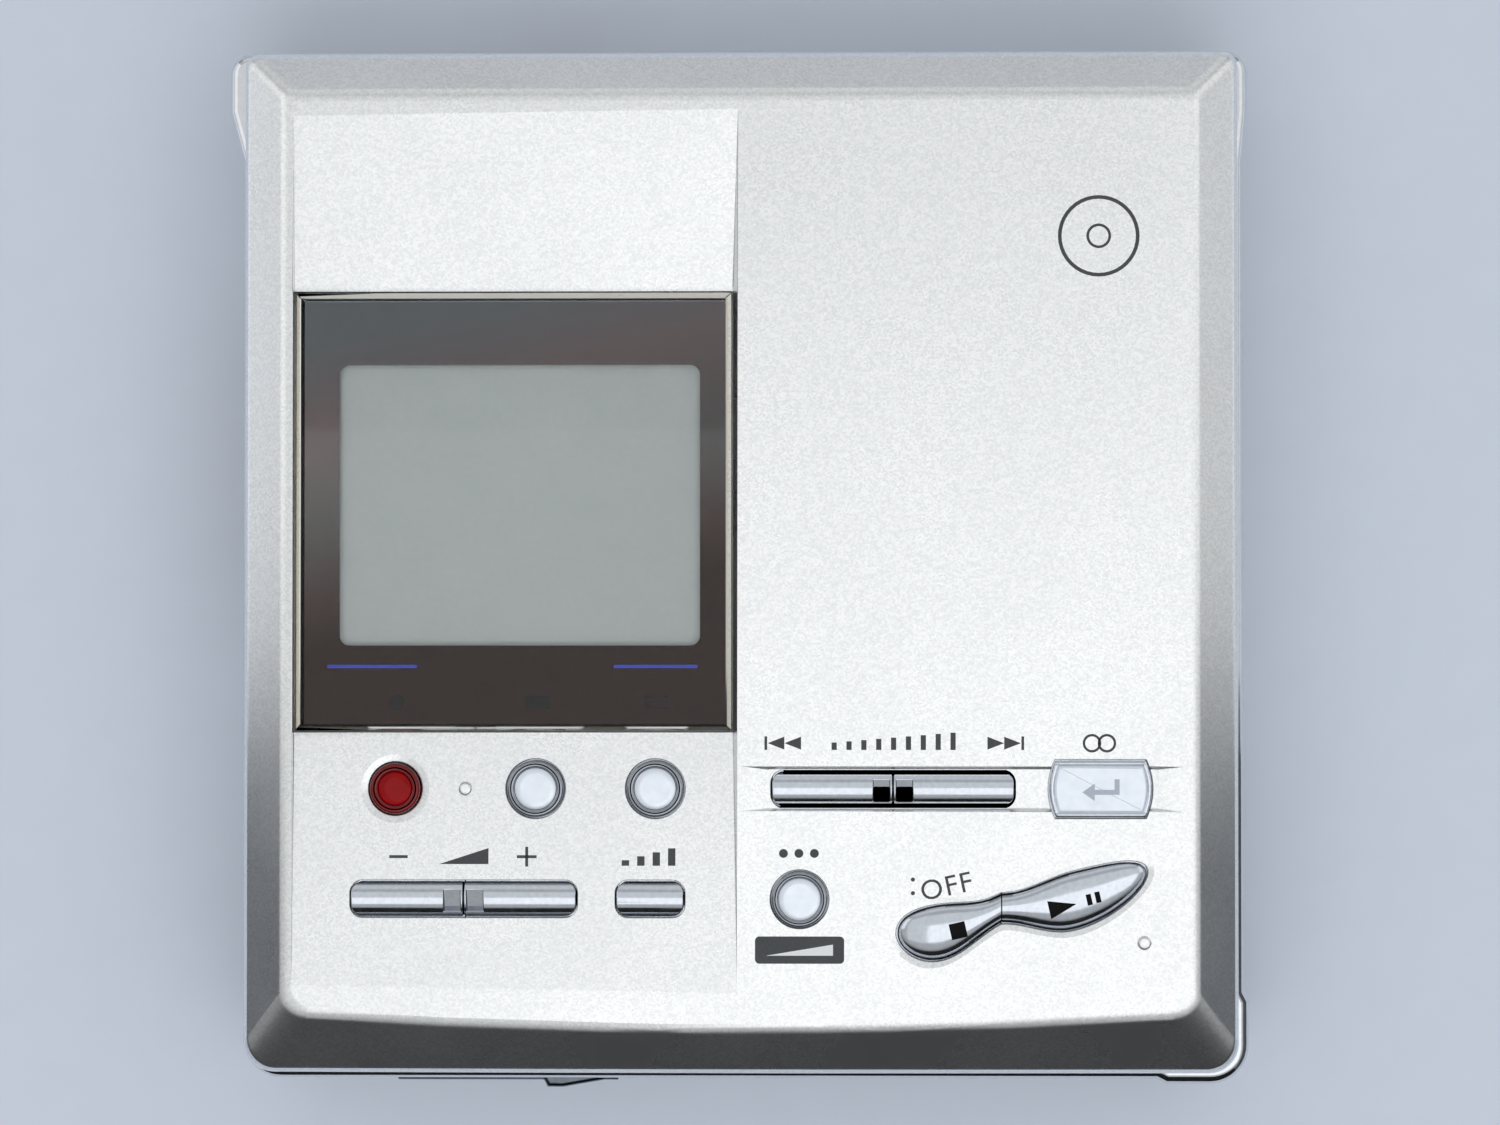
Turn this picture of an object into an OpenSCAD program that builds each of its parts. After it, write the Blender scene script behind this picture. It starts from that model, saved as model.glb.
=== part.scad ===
// Portable disc recorder with a hinged lid: base with belt, lid with keys and display, disc drive inside.
// Millimetres. Origin at the middle of the flat base, +Z up, +Y to the hinge, +X to the right hand side.

/* [Disc cartridge] */
// Width of the cartridge that the holder takes
cart_w = 72; // [70:0.5:76]
// Depth of the cartridge
cart_d = 68; // [66:0.5:72]
// Thickness of the cartridge
cart_h = 5; // [4.6:0.1:6]
// Room around the cartridge in its holder
cart_gap = 0.3; // [0.2:0.05:0.6]

/* [Case] */
// Space from the cartridge to the side of the case
side_room = 4.5; // [4.4:0.1:8]
// Space from the cartridge to the front of the case
front_room = 4.6; // [4.5:0.1:8]
// Space from the cartridge to the rear of the case, for the hinges
rear_room = 10.6; // [10.5:0.1:14]
// Corner radius of the case in plan
corner_r = 2.4; // [1.8:0.1:3]
// Tighter radius of the rear corners of belt and lid
rear_corner_r = 1.1; // [0.8:0.1:2.4]
// Thickness of the case floor
floor_t = 1.2; // [1:0.1:2]
// Thickness of the bottom cover's walls
case_wall = 1.2; // [1:0.05:1.3]
// Height of the bottom cover
lower_h = 9.6; // [9.4:0.1:14]
// How far the belt stands out from the case
belt_proud = 0.8; // [0.5:0.05:1.2]
// Thickness of the belt's wall
belt_wall = 1.8; // [1.6:0.05:2.1]
// How far the two bumpers on the right stand out from the belt
bumper_proud = 0.4; // [0.3:0.1:1.5]
// How far the bumper on the left stands out from the belt
left_bumper_proud = 1.2; // [0.6:0.1:1.6]
// Length of a rear bumper along the side
bumper_len = 9.4; // [6:0.2:14]
// Length over which a rear bumper runs out into the belt
bumper_taper = 4.4; // [2:0.2:5]
// Length of the front bumper along each side of its corner
front_bumper_len = 7.6; // [6:0.2:12]
// Seam between belt and lid
seam = 0.2; // [0.15:0.05:0.3]

/* [Lid] */
// Height of the lid
lid_h = 8.8; // [8.6:0.1:12]
// Thickness of the lid's side and rear walls
lid_wall = 1.5; // [1.3:0.05:1.6]
// Thickness of the lid's front wall under the bevel
lid_front_wall = 3.2; // [3:0.1:3.8]
// Thickness of the lid's top
top_t = 2.4; // [2.2:0.1:3]
// Width of the side and rear bevels in plan
bevel_w = 3.6; // [2.5:0.1:3.8]
// Width of the front bevel in plan at its middle
front_bevel_w = 3.8; // [3:0.1:4]
// Drop of the bevels
bevel_drop = 3; // [2.4:0.1:3.6]
// Bow of the front edge over the width of the top face
front_bow = 1.3; // [0.6:0.1:1.6]
// Depth of the sunken panel beside the display
panel_depth = 1.1; // [0.5:0.05:1.2]
// Radius of the hinge knuckles
hinge_r = 1; // [0.9:0.05:1.2]
// Radius of the hinge pins
hinge_pin_r = 0.5; // [0.35:0.05:0.6]
// Width of a hinge ear
ear_w = 5; // [3:0.2:6]
// Distance of a hinge ear's middle from the side of the case
ear_inset = 11; // [10:0.2:16]

/* [Display] */
// Width of the display tile
tile_w = 35.4; // [32:0.1:35.6]
// Depth of the display tile
tile_d = 35.5; // [30:0.1:36]
// Distance of the tile from the left side of the case
tile_left = 4.5; // [4.3:0.1:5]
// Distance of the tile from the rear of the case
tile_rear = 19.8; // [19:0.1:21]
// How far the tile stands above the lid's top face
tile_proud = 0.15; // [0:0.05:0.4]
// Thickness of the mirror film under the tile
film_t = 0.2; // [0.1:0.05:0.3]
// Width of the window in the film
window_w = 29.3; // [24:0.1:31]
// Depth of the window in the film
window_d = 22.8; // [18:0.1:26]
// Distance of the window from the tile's rear edge
window_rear = 5.8; // [4:0.1:8]

/* [Keys] */
// Travel of a key
key_travel = 0.4; // [0.2:0.05:0.5]
// Gap round a key in its hole
key_gap = 0.12; // [0.08:0.02:0.2]
// How far a key stands above the face round it
key_proud = 0.5; // [0.3:0.05:0.9]
// Width of a key's flange under the lid
flange_w = 0.6; // [0.4:0.1:0.9]
// Diameter of the record button
record_dia = 4.1; // [3.4:0.1:5]
// Diameter of the two round panel buttons
round_dia = 4.6; // [3.6:0.1:5]
// Diameter of the mode button
mode_dia = 4.5; // [3.6:0.1:5]
// Depth of the long bar keys
bar_d = 2.8; // [2.2:0.1:3.4]
// Length of the volume bar
volume_len = 18.2; // [14:0.2:19]
// Length of the bass button
bass_len = 5.4; // [4:0.2:6]
// Length of the skip bar
skip_len = 19.5; // [16:0.2:20.5]
// Width of the enter button
enter_w = 8.2; // [6:0.1:9]
// Depth of the enter button
enter_d = 4.5; // [3.6:0.1:5]
// Length of the stop and play pair
wave_len = 20.1; // [17:0.1:20.5]

/* [Drive] */
// Travel of the pickup along the disc's radius
sled_travel = 16.5; // [10:0.5:16.5]
// Distance of the lens from the spindle at the innermost track
lens_start = 14.5; // [14.2:0.1:15]
// Radius of the guide shafts
shaft_r = 0.75; // [0.5:0.05:1]
// Radius of the lead screw
screw_r = 0.9; // [0.6:0.05:1]
// Gear module of the sled drive
gear_module = 0.2; // [0.18:0.01:0.21]
// Radius of the spindle motor
spindle_motor_r = 7; // [5:0.2:7.4]
// Radius of the turntable
turntable_r = 6.5; // [4:0.1:8]

/* [Power and sockets] */
// Length of the cell
cell_len = 67; // [60:0.5:67.5]
// Depth of the cell
cell_d = 17; // [14:0.1:17]
// Thickness of the cell
cell_h = 6; // [5:0.1:6.2]
// Radius of the plug hole in the three sockets
plug_r = 1.8; // [1.3:0.05:1.9]
// Length of the three sockets
socket_len = 12; // [9:0.5:13]
// Width of the three sockets
socket_w = 6; // [5:0.1:7]
// Distance between sockets
socket_pitch = 8.5; // [7.5:0.1:9]

/* [Levers] */
// Travel of the lid's open lever
lever_travel = 3.5; // [2:0.1:4]
// Length of the open lever's thumb nub
nub_len = 6.6; // [4:0.1:8]
// Travel of the hold slider
hold_travel = 2.2; // [1:0.1:3]
// Length of the hold slider's knob
hold_len = 6.3; // [4:0.1:8]

/* [Hidden] */
$fn = 48;
cone_fn = 720;
hull_over = 5;

// Case outline
case_w = cart_w + 2 * side_room;
case_d = cart_d + front_room + rear_room;
half_w = case_w / 2;
half_d = case_d / 2;
belt_w = case_w + 2 * belt_proud;
belt_d = case_d + 2 * belt_proud;
cavity_x = half_w - case_wall;
cavity_y = half_d - case_wall;

// Running gaps
fit = 0.03;
slip = 0.05;
gap = 0.15;
clear = 0.3;

// Drive deck and cartridge levels
deck_t = 0.6;
sheet_t = 0.4;
deck_z0 = lower_h - deck_t;
deck_z1 = lower_h;
lip_z0 = deck_z1 + clear;
cart_z0 = lip_z0 + sheet_t;
cart_z1 = cart_z0 + cart_h + 0.2;
holder_top = cart_z1 + sheet_t;

// Head arm and lid levels
arm_gap = 0.4;
arm_t = 0.5;
arm_z0 = holder_top + arm_gap;
arm_z1 = arm_z0 + arm_t;
belt_top = holder_top + 0.1;
belt_h = belt_top - lower_h;
lid_z0 = belt_top + seam;
lid_top = lid_z0 + lid_h;
ceiling = lid_top - top_t;
plate_t = 0.6;
plate_z0 = arm_z1 + arm_gap;
plate_z1 = plate_z0 + plate_t;
key_board_t = 0.8;
key_board_z0 = plate_z1 + 0.8;
key_board_z1 = key_board_z0 + key_board_t;
dome_h = 0.35;
dome_r = 1.2;
flange_t = 0.8;
flange_z1 = ceiling - slip;
flange_z0 = flange_z1 - flange_t;
stem_r = 0.9;
stem_z0 = key_board_z1 + dome_h + key_travel + 0.05;

// Lid hinge
hinge_y = half_d - hinge_r;
hinge_z = lid_z0 + hinge_r;
ear_x = half_w - ear_inset;
knuckle_len = 3.2;
pin_len = ear_w + 2 * knuckle_len - 0.6;

// Lid screws
boss_in_x = 3.9;
boss_in_rear = 6.6;
boss_in_front = 6.1;
lid_boss_x = half_w - boss_in_x;
lid_boss_rear = half_d - boss_in_rear;
lid_boss_front = -half_d + boss_in_front;
lid_boss_at = [for (x = [-lid_boss_x, lid_boss_x], y = [lid_boss_front, lid_boss_rear]) [x, y]];
lid_boss_r = 1.8;
lid_neck_r = 1.1;
lid_screw_r = 0.45;
lid_head_r = 1;
lid_head_t = 0.5;

// Display
tile_x0 = -half_w + tile_left;
tile_x1 = tile_x0 + tile_w;
tile_y1 = half_d - tile_rear;
tile_y0 = tile_y1 - tile_d;
tile_z0 = ceiling + film_t;
tile_z1 = lid_top + tile_proud;
tile_bevel = 0.5;
tile_gap = 0.1;
tile_mid = (tile_x0 + tile_x1) / 2;
window_share = 0.574;
window_x0 = tile_x0 + (tile_w - window_w) * window_share;
window_y1 = tile_y1 - window_rear;
window_y0 = window_y1 - window_d;
window_r = 0.8;
lcd_frame_w = 1;
lcd_side = 0.8;
lcd_lift = 0.4;
lcd_drop = 0.3;
lcd_z0 = key_board_z1 + lcd_lift;
lcd_z1 = ceiling - lcd_drop;

// Sunken panel: a shallow valley that is deepest beside the display
panel_x0 = tile_x0 - 0.2;
panel_x1 = tile_x1 + 0.1;
panel_in_rear = 5.4;
panel_in_front = 7.4;
valley_gap_rear = 0.5;
valley_gap_front = 0.3;
panel_rear = half_d - panel_in_rear;
panel_front = -half_d + panel_in_front;
valley_rear = tile_y1 + valley_gap_rear;
valley_front = tile_y0 - valley_gap_front;

// Face height of the sunken panel in front of the display
function panel_z(y) = lid_top - panel_depth * (y - panel_front) / (valley_front - panel_front);

// Key places; the crown of a bar key is a share of its width
bar_crown = 0.58;
row_gap = 4.7;
row_pitch = 8.9;
row1_y = tile_y0 - row_gap;
row2_y = row1_y - row_pitch;
record_in = 8.1;
display_in = 19.5;
edit_in = 6.2;
record_at = [tile_x0 + record_in, row1_y];
display_at = [tile_x0 + display_in, row1_y];
edit_at = [tile_x1 - edit_in, row1_y];
volume_in = 4.6;
volume_x0 = tile_x0 + volume_in;
volume_x1 = volume_x0 + volume_len;
volume_mid = (volume_x0 + volume_x1) / 2;
bass_in = 3.9;
bass_x1 = tile_x1 - bass_in;
bass_x0 = bass_x1 - bass_len;
skip_front = 23.2;
skip_y = -half_d + skip_front;
skip_in = 18.3;
skip_x1 = half_w - skip_in;
skip_x0 = skip_x1 - skip_len;
skip_mid = (skip_x0 + skip_x1) / 2;
enter_in = 11.3;
enter_at = [half_w - enter_in, skip_y];
mode_in = 35.6;
mode_front = 14.3;
mode_at = [half_w - mode_in, -half_d + mode_front];
split_gap = 0.1;
bar_round = 0.4;
enter_bulge = 0.5;
groove_d = 3.2;
groove_depth = 0.25;
groove_run = 1.8;
dish_w = 0.75;
dish_depth = 0.35;

// Stop and play pair: a wavy band with two lobes that rises to the right
wave_in = 7.6;
wave_x1 = half_w - wave_in;
wave_x0 = wave_x1 - wave_len;
wave_split = wave_x0 + wave_len * 0.418;
wave_front = 11.55;
wave_y0 = -half_d + wave_front;
wave_rise = 4.87;
lobe_left = 2.2;
lobe_right = 2.3;
waist = 1.15;
lobe_sag = 0.8;
wave_steps = 20;

// Raised dots, with the height of the face they stand on
dot_r = 0.52;
dot_h = 0.3;
dot_root = 0.5;
dots_at = [
    [record_at[0] + 5.7, row1_y, panel_z(row1_y)],
    [wave_x1 - 0.2, wave_y0 - 0.75, lid_top]
];

// Drive places
spindle_y = -half_d + front_room + cart_d / 2;
bay_y0 = -half_d + front_room;
bay_y1 = bay_y0 + cart_d;
holder_x = cart_w / 2 + cart_gap;
holder_y0 = bay_y0 - cart_gap;
holder_y1 = bay_y1 + cart_gap;
pivot_y = bay_y1 + 2.5;
pivot_z = deck_z1 + 1.4;
pivot_r = 0.7;
pivot_tail_r = 1.5;
deck_ear_x = holder_x + sheet_t + clear;
deck_ear_t = 0.9;
drive_drop = 2.8;
rail_drop = 2.4;
drive_z = deck_z0 - drive_drop;
rail_z = deck_z0 - rail_drop;
rail_reach_front = 9.6;
rail_reach_rear = 9;
lead_reach = 4.5;
rail_front = spindle_y - rail_reach_front;
rail_rear = spindle_y + rail_reach_rear;
lead_y = rail_rear + lead_reach;
wheel_teeth = 24;
pinion_teeth = 12;
wheel_r = gear_module * wheel_teeth / 2;
pinion_r = gear_module * pinion_teeth / 2;
backlash = 0.06;
pinion_y = lead_y + wheel_r + pinion_r + backlash;
wheel_x0 = 4.2;
wheel_t = 1.4;
bracket_t = 1;
bracket_left = 7;
sled_half = 5;
sled_x0 = lens_start - sled_half;
sled_x1 = lens_start + sled_half;
bracket_right = sled_x1 + sled_travel + 1;
sled_h = 3.4;
sled_drop = 0.6;
sled_z1 = deck_z0 - sled_drop;
sled_z0 = sled_z1 - sled_h;
sled_y0 = rail_front - 1.6;
sled_y1 = lead_y + 2;
arm_half = 3.5;
lug_t = 1.5;
lens_r = 2;
lens_z = cart_z0 + 0.6;
turntable_z = cart_z0 + 0.8;
spindle_r = 0.75;
spindle_motor_h = 3.6;
spindle_motor_z0 = deck_z0 - spindle_motor_h;
motor_r = 2.6;
motor_len = 12;
motor_x1 = 1.2;

// Board, posts and dampers
board_t = 0.8;
drive_bay_h = 7;
board_z0 = lower_h - drive_bay_h;
board_z1 = board_z0 + board_t;
board_x = half_w - 5.9;
board_y0 = sled_y0 - 0.6;
board_y1 = half_d - 5.6;
post_r = 1.2;
post_x = half_w - 3.7;
post_front = board_y0 - 2;
post_rear = bay_y1 - 3;
post_at = [for (x = [-post_x, post_x], y = [post_front, post_rear]) [x, y]];
chip_h = 1.1;
chip_scale = 1;
damper_h = 1;
damper_r = 1.3;
seat_inset = 2;
seat_x = board_x - seat_inset;
seat_at = [for (x = [-seat_x, seat_x], y = [board_y0 + seat_inset, board_y1 - seat_inset]) [x, y]];

// Case screws
column_x = half_w - 3.7;
column_y = half_d - 2.8;
column_at = [for (x = [-column_x, column_x], y = [-column_y, column_y]) [x, y]];
column_r = 1.5;
case_screw_r = 0.55;
case_head_r = 1.1;
case_head_t = 0.7;
lug_h = 2;

// Cell and its door
cell_z0 = floor_t + 0.2;
cell_y0 = -half_d + 4.8;
cell_y1 = cell_y0 + cell_d;
cell_x1 = cavity_x - 5.8;
cell_x0 = cell_x1 - cell_len;
cell_rib_y = cell_y1 + 0.3;
cell_rib_t = 0.7;
contact_t = 0.3;
contact_w = 5;
contact_out = 4;
contact_drop = 1;
door_z0 = floor_t + 0.1;
door_z1 = cell_z0 + cell_h + 0.3;
door_y0 = cell_y0 - 0.2;
door_pin_y = cell_y1 + 0.9;
door_pin_r = 0.3;
door_pin_reach = 0.6;
knuckle_r = case_wall / 2;

// Sockets
socket_room = 1;
socket_first = 4;
socket_h = lower_h - board_z1 - socket_room;
socket_z = board_z1 + socket_h / 2;
socket_y = [for (i = [0 : 2]) spindle_y + socket_first + i * socket_pitch];
jack_margin = 2;
jack_y0 = socket_y[0] - socket_w / 2 - jack_margin;
jack_y1 = socket_y[2] + socket_w / 2 + jack_margin;
jack_z0 = floor_t + 0.6;
supply_x = -16;
supply_w = 7;
supply_len = 8;
supply_h = 4.6;
supply_wall = 0.9;
supply_back = 2;

// Belt
front_bumper_taper = 0.8;

// Levers
lever_z = lower_h + belt_h / 2;
lever_h = 1.6;
lever_left = 30.2;
lever_x1 = -half_w + lever_left;
lever_len = 18.3;
lever_proud = 0.3;
lever_bar_t = 0.8;
lever_bar_h = 3.2;
nub_proud = 0.9;
hold_rear = 25.9;
hold_y = half_d - hold_rear;
hold_h = 1.8;
hold_proud = 0.1;
hook_w = 4;
hook_t = 0.9;
hook_drop = 3.2;

// Helpers

// Box between two corners
module box(lo, hi) {
    translate(lo) cube(hi - lo);
}

// Plan of the case, tighter at its rear corners than in front, with both radii larger by grow
module case_outline(w, d, grow) {
    front = corner_r + grow;
    rear = rear_corner_r + grow;
    translate([front - w / 2, -d / 2]) square([w - 2 * front, d / 2]);
    translate([rear - w / 2, 0]) square([w - 2 * rear, d / 2]);
    translate([-w / 2, front - d / 2]) square([w, d - front - rear]);
    for (sx = [-1, 1]) {
        translate([sx * (w / 2 - front), front - d / 2]) circle(front);
        translate([sx * (w / 2 - rear), d / 2 - rear]) circle(rear);
    }
}

// Rectangle with round corners, centred
module round_rect(w, d, r) {
    square([w - 2 * r, d], center = true);
    square([w, d - 2 * r], center = true);
    for (x = [-1, 1], y = [-1, 1])
        translate([x * (w / 2 - r), y * (d / 2 - r)]) circle(r);
}

// Outline in (x, z) drawn out along Y, centred on the origin
module along_y(len) {
    rotate([90, 0, 0]) linear_extrude(len, center = true) children();
}

// Outline in (y, z) drawn out along X from x0 to x1
module along_x(x0, x1) {
    translate([x0, 0, 0]) rotate([90, 0, 90]) linear_extrude(x1 - x0) children();
}

// Round bar along X from x0 to x1
module rod_x(x0, x1, y, z, r) {
    translate([x0, y, z]) rotate([0, 90, 0]) cylinder(h = x1 - x0, r = r);
}

// Upright round bar
module rod_z(at, z0, z1, r) {
    translate([at[0], at[1], z0]) cylinder(h = z1 - z0, r = r);
}

// Gear outline with straight-sided teeth
module gear_outline(teeth, m) {
    root = m * teeth / 2 - 1.2 * m;
    tip = m * teeth / 2 + 0.85 * m;
    step = 360 / teeth;
    polygon([
        for (i = [0 : teeth - 1], k = [[-0.3, root], [-0.12, tip], [0.12, tip], [0.3, root]])
            k[1] * [cos((i + k[0]) * step), sin((i + k[0]) * step)]
    ]);
}

// Key outlines in plan, grown by g

module bar_outline(x0, x1, y, d, g = 0) {
    translate([(x0 + x1) / 2, y]) round_rect(x1 - x0 + 2 * g, d + 2 * g, bar_round);
}

module enter_outline(g = 0) {
    side_r = (enter_d * enter_d / 4 + enter_bulge * enter_bulge) / (2 * enter_bulge);
    side_x = side_r - enter_w / 2;
    translate(enter_at) intersection() {
        square([enter_w + 2 * g, enter_d + 2 * g], center = true);
        translate([side_x, 0]) circle(side_r + g);
        translate([-side_x, 0]) circle(side_r + g);
    }
}

// Half height of the wavy band, grown by g: two lobes that meet at a waist
function left_half(u, g) = u < 0.4
    ? (lobe_left + g) * sqrt(1 - pow(1 - u / 0.4, 2))
    : waist + g + (lobe_left - waist) * (1 + cos(180 * (u - 0.4) / 0.6)) / 2;
function right_half(v, g) = v < 0.5
    ? waist + g + (lobe_right - waist) * (1 - cos(360 * v)) / 2
    : (lobe_right + g) * sqrt(1 - pow((v - 0.5) / 0.5, 2));
function left_share(x, g) = max(0, (x - wave_x0 + g) / (wave_split - wave_x0 + g));
function right_share(x, g) = min(1, (x - wave_split) / (wave_x1 + g - wave_split));
function wave_half(x, g) = x < wave_split ? left_half(left_share(x, g), g) : right_half(right_share(x, g), g);
function wave_sag(x) = lobe_sag * sin(180 * (x < wave_split ? left_share(x, 0) : right_share(x, 0)));
function wave_mid(x) = wave_y0 + wave_rise * (x - wave_x0) / wave_len - wave_sag(x);

// Stretch of the wavy band between two places along X, grown by g
module wave_outline(x0, x1, g = 0) {
    xs = [for (i = [0 : wave_steps]) x0 + (x1 - x0) * (1 - cos(180 * i / wave_steps)) / 2];
    polygon(concat(
        [for (x = xs) [x, wave_mid(x) + wave_half(x, g)]],
        [for (i = [wave_steps : -1 : 0]) [xs[i], wave_mid(xs[i]) - wave_half(xs[i], g)]]
    ));
}

// Key with its flange under the lid and its stem over a dome; the children are the cap and the flange outline
module key_body(at, cap_top) {
    translate([0, 0, flange_z0]) linear_extrude(cap_top - flange_z0) children(0);
    translate([0, 0, flange_z0]) linear_extrude(flange_t) children(1);
    rod_z(at, stem_z0, flange_z0, stem_r);
}

// Round button with a chamfered rim
module round_key(at, dia, face_z) {
    rim = 0.35;
    top = face_z + key_proud;
    rod_z(at, flange_z0, top - rim, dia / 2);
    translate([at[0], at[1], top - rim]) cylinder(h = rim, r1 = dia / 2, r2 = dia / 2 - rim);
    rod_z(at, flange_z0, flange_z1, dia / 2 + flange_w);
    rod_z(at, stem_z0, flange_z0, stem_r);
}

// Half-round bar key
module bar_key(x0, x1, y, face_z) {
    top = face_z + key_proud;
    crown_r = bar_d * bar_crown;
    crown_z = top - crown_r;
    intersection() {
        key_body([(x0 + x1) / 2, y], top) {
            bar_outline(x0, x1, y, bar_d);
            translate([x0, y - bar_d / 2 - flange_w]) square([x1 - x0, bar_d + 2 * flange_w]);
        }
        union() {
            rod_x(x0 - 1, x1 + 1, y, crown_z, crown_r);
            box([x0 - 1, y - bar_d, stem_z0 - 1], [x1 + 1, y + bar_d, max(flange_z1, crown_z)]);
        }
    }
}

// Base: covers and frame

module bottom_cover() {
    color("#b9bdc0") difference() {
        union() {
            difference() {
                linear_extrude(lower_h) round_rect(case_w, case_d, corner_r);
                translate([0, 0, floor_t])
                    linear_extrude(lower_h) round_rect(2 * cavity_x, 2 * cavity_y, corner_r - case_wall / 2);
            }
            for (p = column_at) rod_z(p, floor_t / 2, lower_h, column_r);
            for (p = post_at) rod_z(p, floor_t / 2, deck_z0 - damper_h, post_r);
            for (p = seat_at) rod_z(p, floor_t / 2, board_z0, post_r);
            box([cell_x0 - 1, cell_rib_y, floor_t / 2], [cavity_x - 3.5, cell_rib_y + cell_rib_t, door_z1]);
        }
        for (p = column_at) {
            rod_z(p, -1, lower_h + 1, case_screw_r + slip);
            rod_z(p, -1, case_head_t + 0.1, case_head_r + 0.1);
        }
        // Doorway of the cell, with room for the door's knuckle
        box([cavity_x - 1, door_y0 - gap, door_z0 - gap],
            [half_w + 1, door_pin_y + knuckle_r + gap, door_z1 + gap]);
        rod_z([half_w - knuckle_r, door_pin_y], door_z0 - gap - door_pin_reach,
            door_z1 + gap + door_pin_reach, door_pin_r + fit);
        // Bay of the socket panel
        box([-half_w - 1, jack_y0, jack_z0], [-cavity_x + gap, jack_y1, lower_h + 1]);
        box([supply_x - supply_w / 2 - gap, cavity_y - 1, board_z1 - gap],
            [supply_x + supply_w / 2 + gap, half_d + 1, board_z1 + supply_h + gap]);
    }
}

// Corner of a larger outline, at the signs given, that stands out by out from the belt's side and end
module bumper(sx, sy, out, len, taper) {
    w = belt_w + 2 * out[0];
    d = belt_d + 2 * out[1];
    full = len - taper;
    shape = [[0, 0], [full, 0], [len, out[1]], [len, len], [out[0], len], [0, full]];
    intersection() {
        case_outline(w, d, belt_proud);
        polygon([for (p = shape) [sx * (w / 2 - p[0]), sy * (d / 2 - p[1])]]);
    }
}

module side_frame() {
    lug_x = [column_x - column_r, belt_w / 2 - 1];
    lug_y = [column_y - 1.2, belt_d / 2 - 1];
    lug_size = [lug_x[1] - lug_x[0], lug_y[1] - lug_y[0], lug_h];
    lug_mid = [(lug_x[0] + lug_x[1]) / 2, (lug_y[0] + lug_y[1]) / 2, lower_h + lug_h / 2];
    hold_y0 = hold_y - hold_len / 2 - hold_travel;
    color("#d5d8da") difference() {
        union() {
            translate([0, 0, lower_h]) linear_extrude(belt_h) difference() {
                union() {
                    case_outline(belt_w, belt_d, belt_proud);
                    bumper(-1, 1, [left_bumper_proud, 0], bumper_len, bumper_taper);
                    bumper(1, 1, [bumper_proud, 0], bumper_len, bumper_taper);
                    bumper(1, -1, [bumper_proud, bumper_proud], front_bumper_len, front_bumper_taper);
                }
                round_rect(belt_w - 2 * belt_wall, belt_d - 2 * belt_wall, corner_r - belt_wall / 2);
            }
            for (sx = [-1, 1]) {
                // Lugs that take the case screws
                for (sy = [-1, 1])
                    translate([sx * lug_mid[0], sy * lug_mid[1], lug_mid[2]]) cube(lug_size, center = true);
                // Hinge ears
                rod_x(sx * ear_x - ear_w / 2, sx * ear_x + ear_w / 2, hinge_y, hinge_z, hinge_r - slip);
                box([sx * ear_x - ear_w / 2, hinge_y - hinge_r + slip, belt_top - 2],
                    [sx * ear_x + ear_w / 2, hinge_y + hinge_r - slip, hinge_z]);
            }
        }
        for (p = column_at) rod_z(p, lower_h - 1, lower_h + lug_h - 0.5, case_screw_r + fit);
        for (sx = [-1, 1])
            rod_x(sx * ear_x - ear_w, sx * ear_x + ear_w, hinge_y, hinge_z, hinge_pin_r + fit);
        // Slot of the open lever
        box([lever_x1 - lever_len - lever_travel - gap, -belt_d, lever_z - lever_h / 2 - gap],
            [lever_x1 + gap, -belt_d / 2 + belt_wall + 1, lever_z + lever_h / 2 + gap]);
        // Slot of the hold slider
        box([belt_w / 2 - belt_wall - 1, hold_y0 - gap, lever_z - hold_h / 2 - gap],
            [belt_w, hold_y + hold_len / 2 + gap, lever_z + hold_h / 2 + gap]);
    }
}

module case_screws() {
    color("#8b8f93") for (p = column_at) difference() {
        union() {
            rod_z(p, 0.1, case_head_t, case_head_r);
            rod_z(p, 0.1, lower_h + lug_h - 0.8, case_screw_r);
        }
        translate([p[0], p[1], 0]) cube([1.4, 0.3, 0.8], center = true);
        translate([p[0], p[1], 0]) cube([0.3, 1.4, 0.8], center = true);
    }
}

module hinge_pins() {
    color("#a9adb0") for (sx = [-1, 1])
        rod_x(sx * ear_x - pin_len / 2, sx * ear_x + pin_len / 2, hinge_y, hinge_z, hinge_pin_r);
}

// Base: board and drive

module main_board() {
    color("#2e6b45") difference() {
        box([-board_x, board_y0, board_z0], [board_x, board_y1, board_z1]);
        for (p = seat_at) rod_z(p, 0, board_z1 + 1, 0.4);
    }
}

module board_chips() {
    // Share of the board's width and depth, then the size of each chip
    chips = [
        [0.24, 0.4, 11, 11], [0.25, 0.8, 9, 6], [0.47, 0.8, 7, 7], [0.86, 0.68, 9, 9], [0.27, 0.13, 8, 6]
    ];
    board_d = board_y1 - board_y0;
    color("#232426") for (c = chips)
        translate([2 * board_x * c[0] - board_x, board_y0 + board_d * c[1], board_z1 + chip_h / 2])
            cube([c[2] * chip_scale, c[3] * chip_scale, chip_h], center = true);
}

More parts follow.
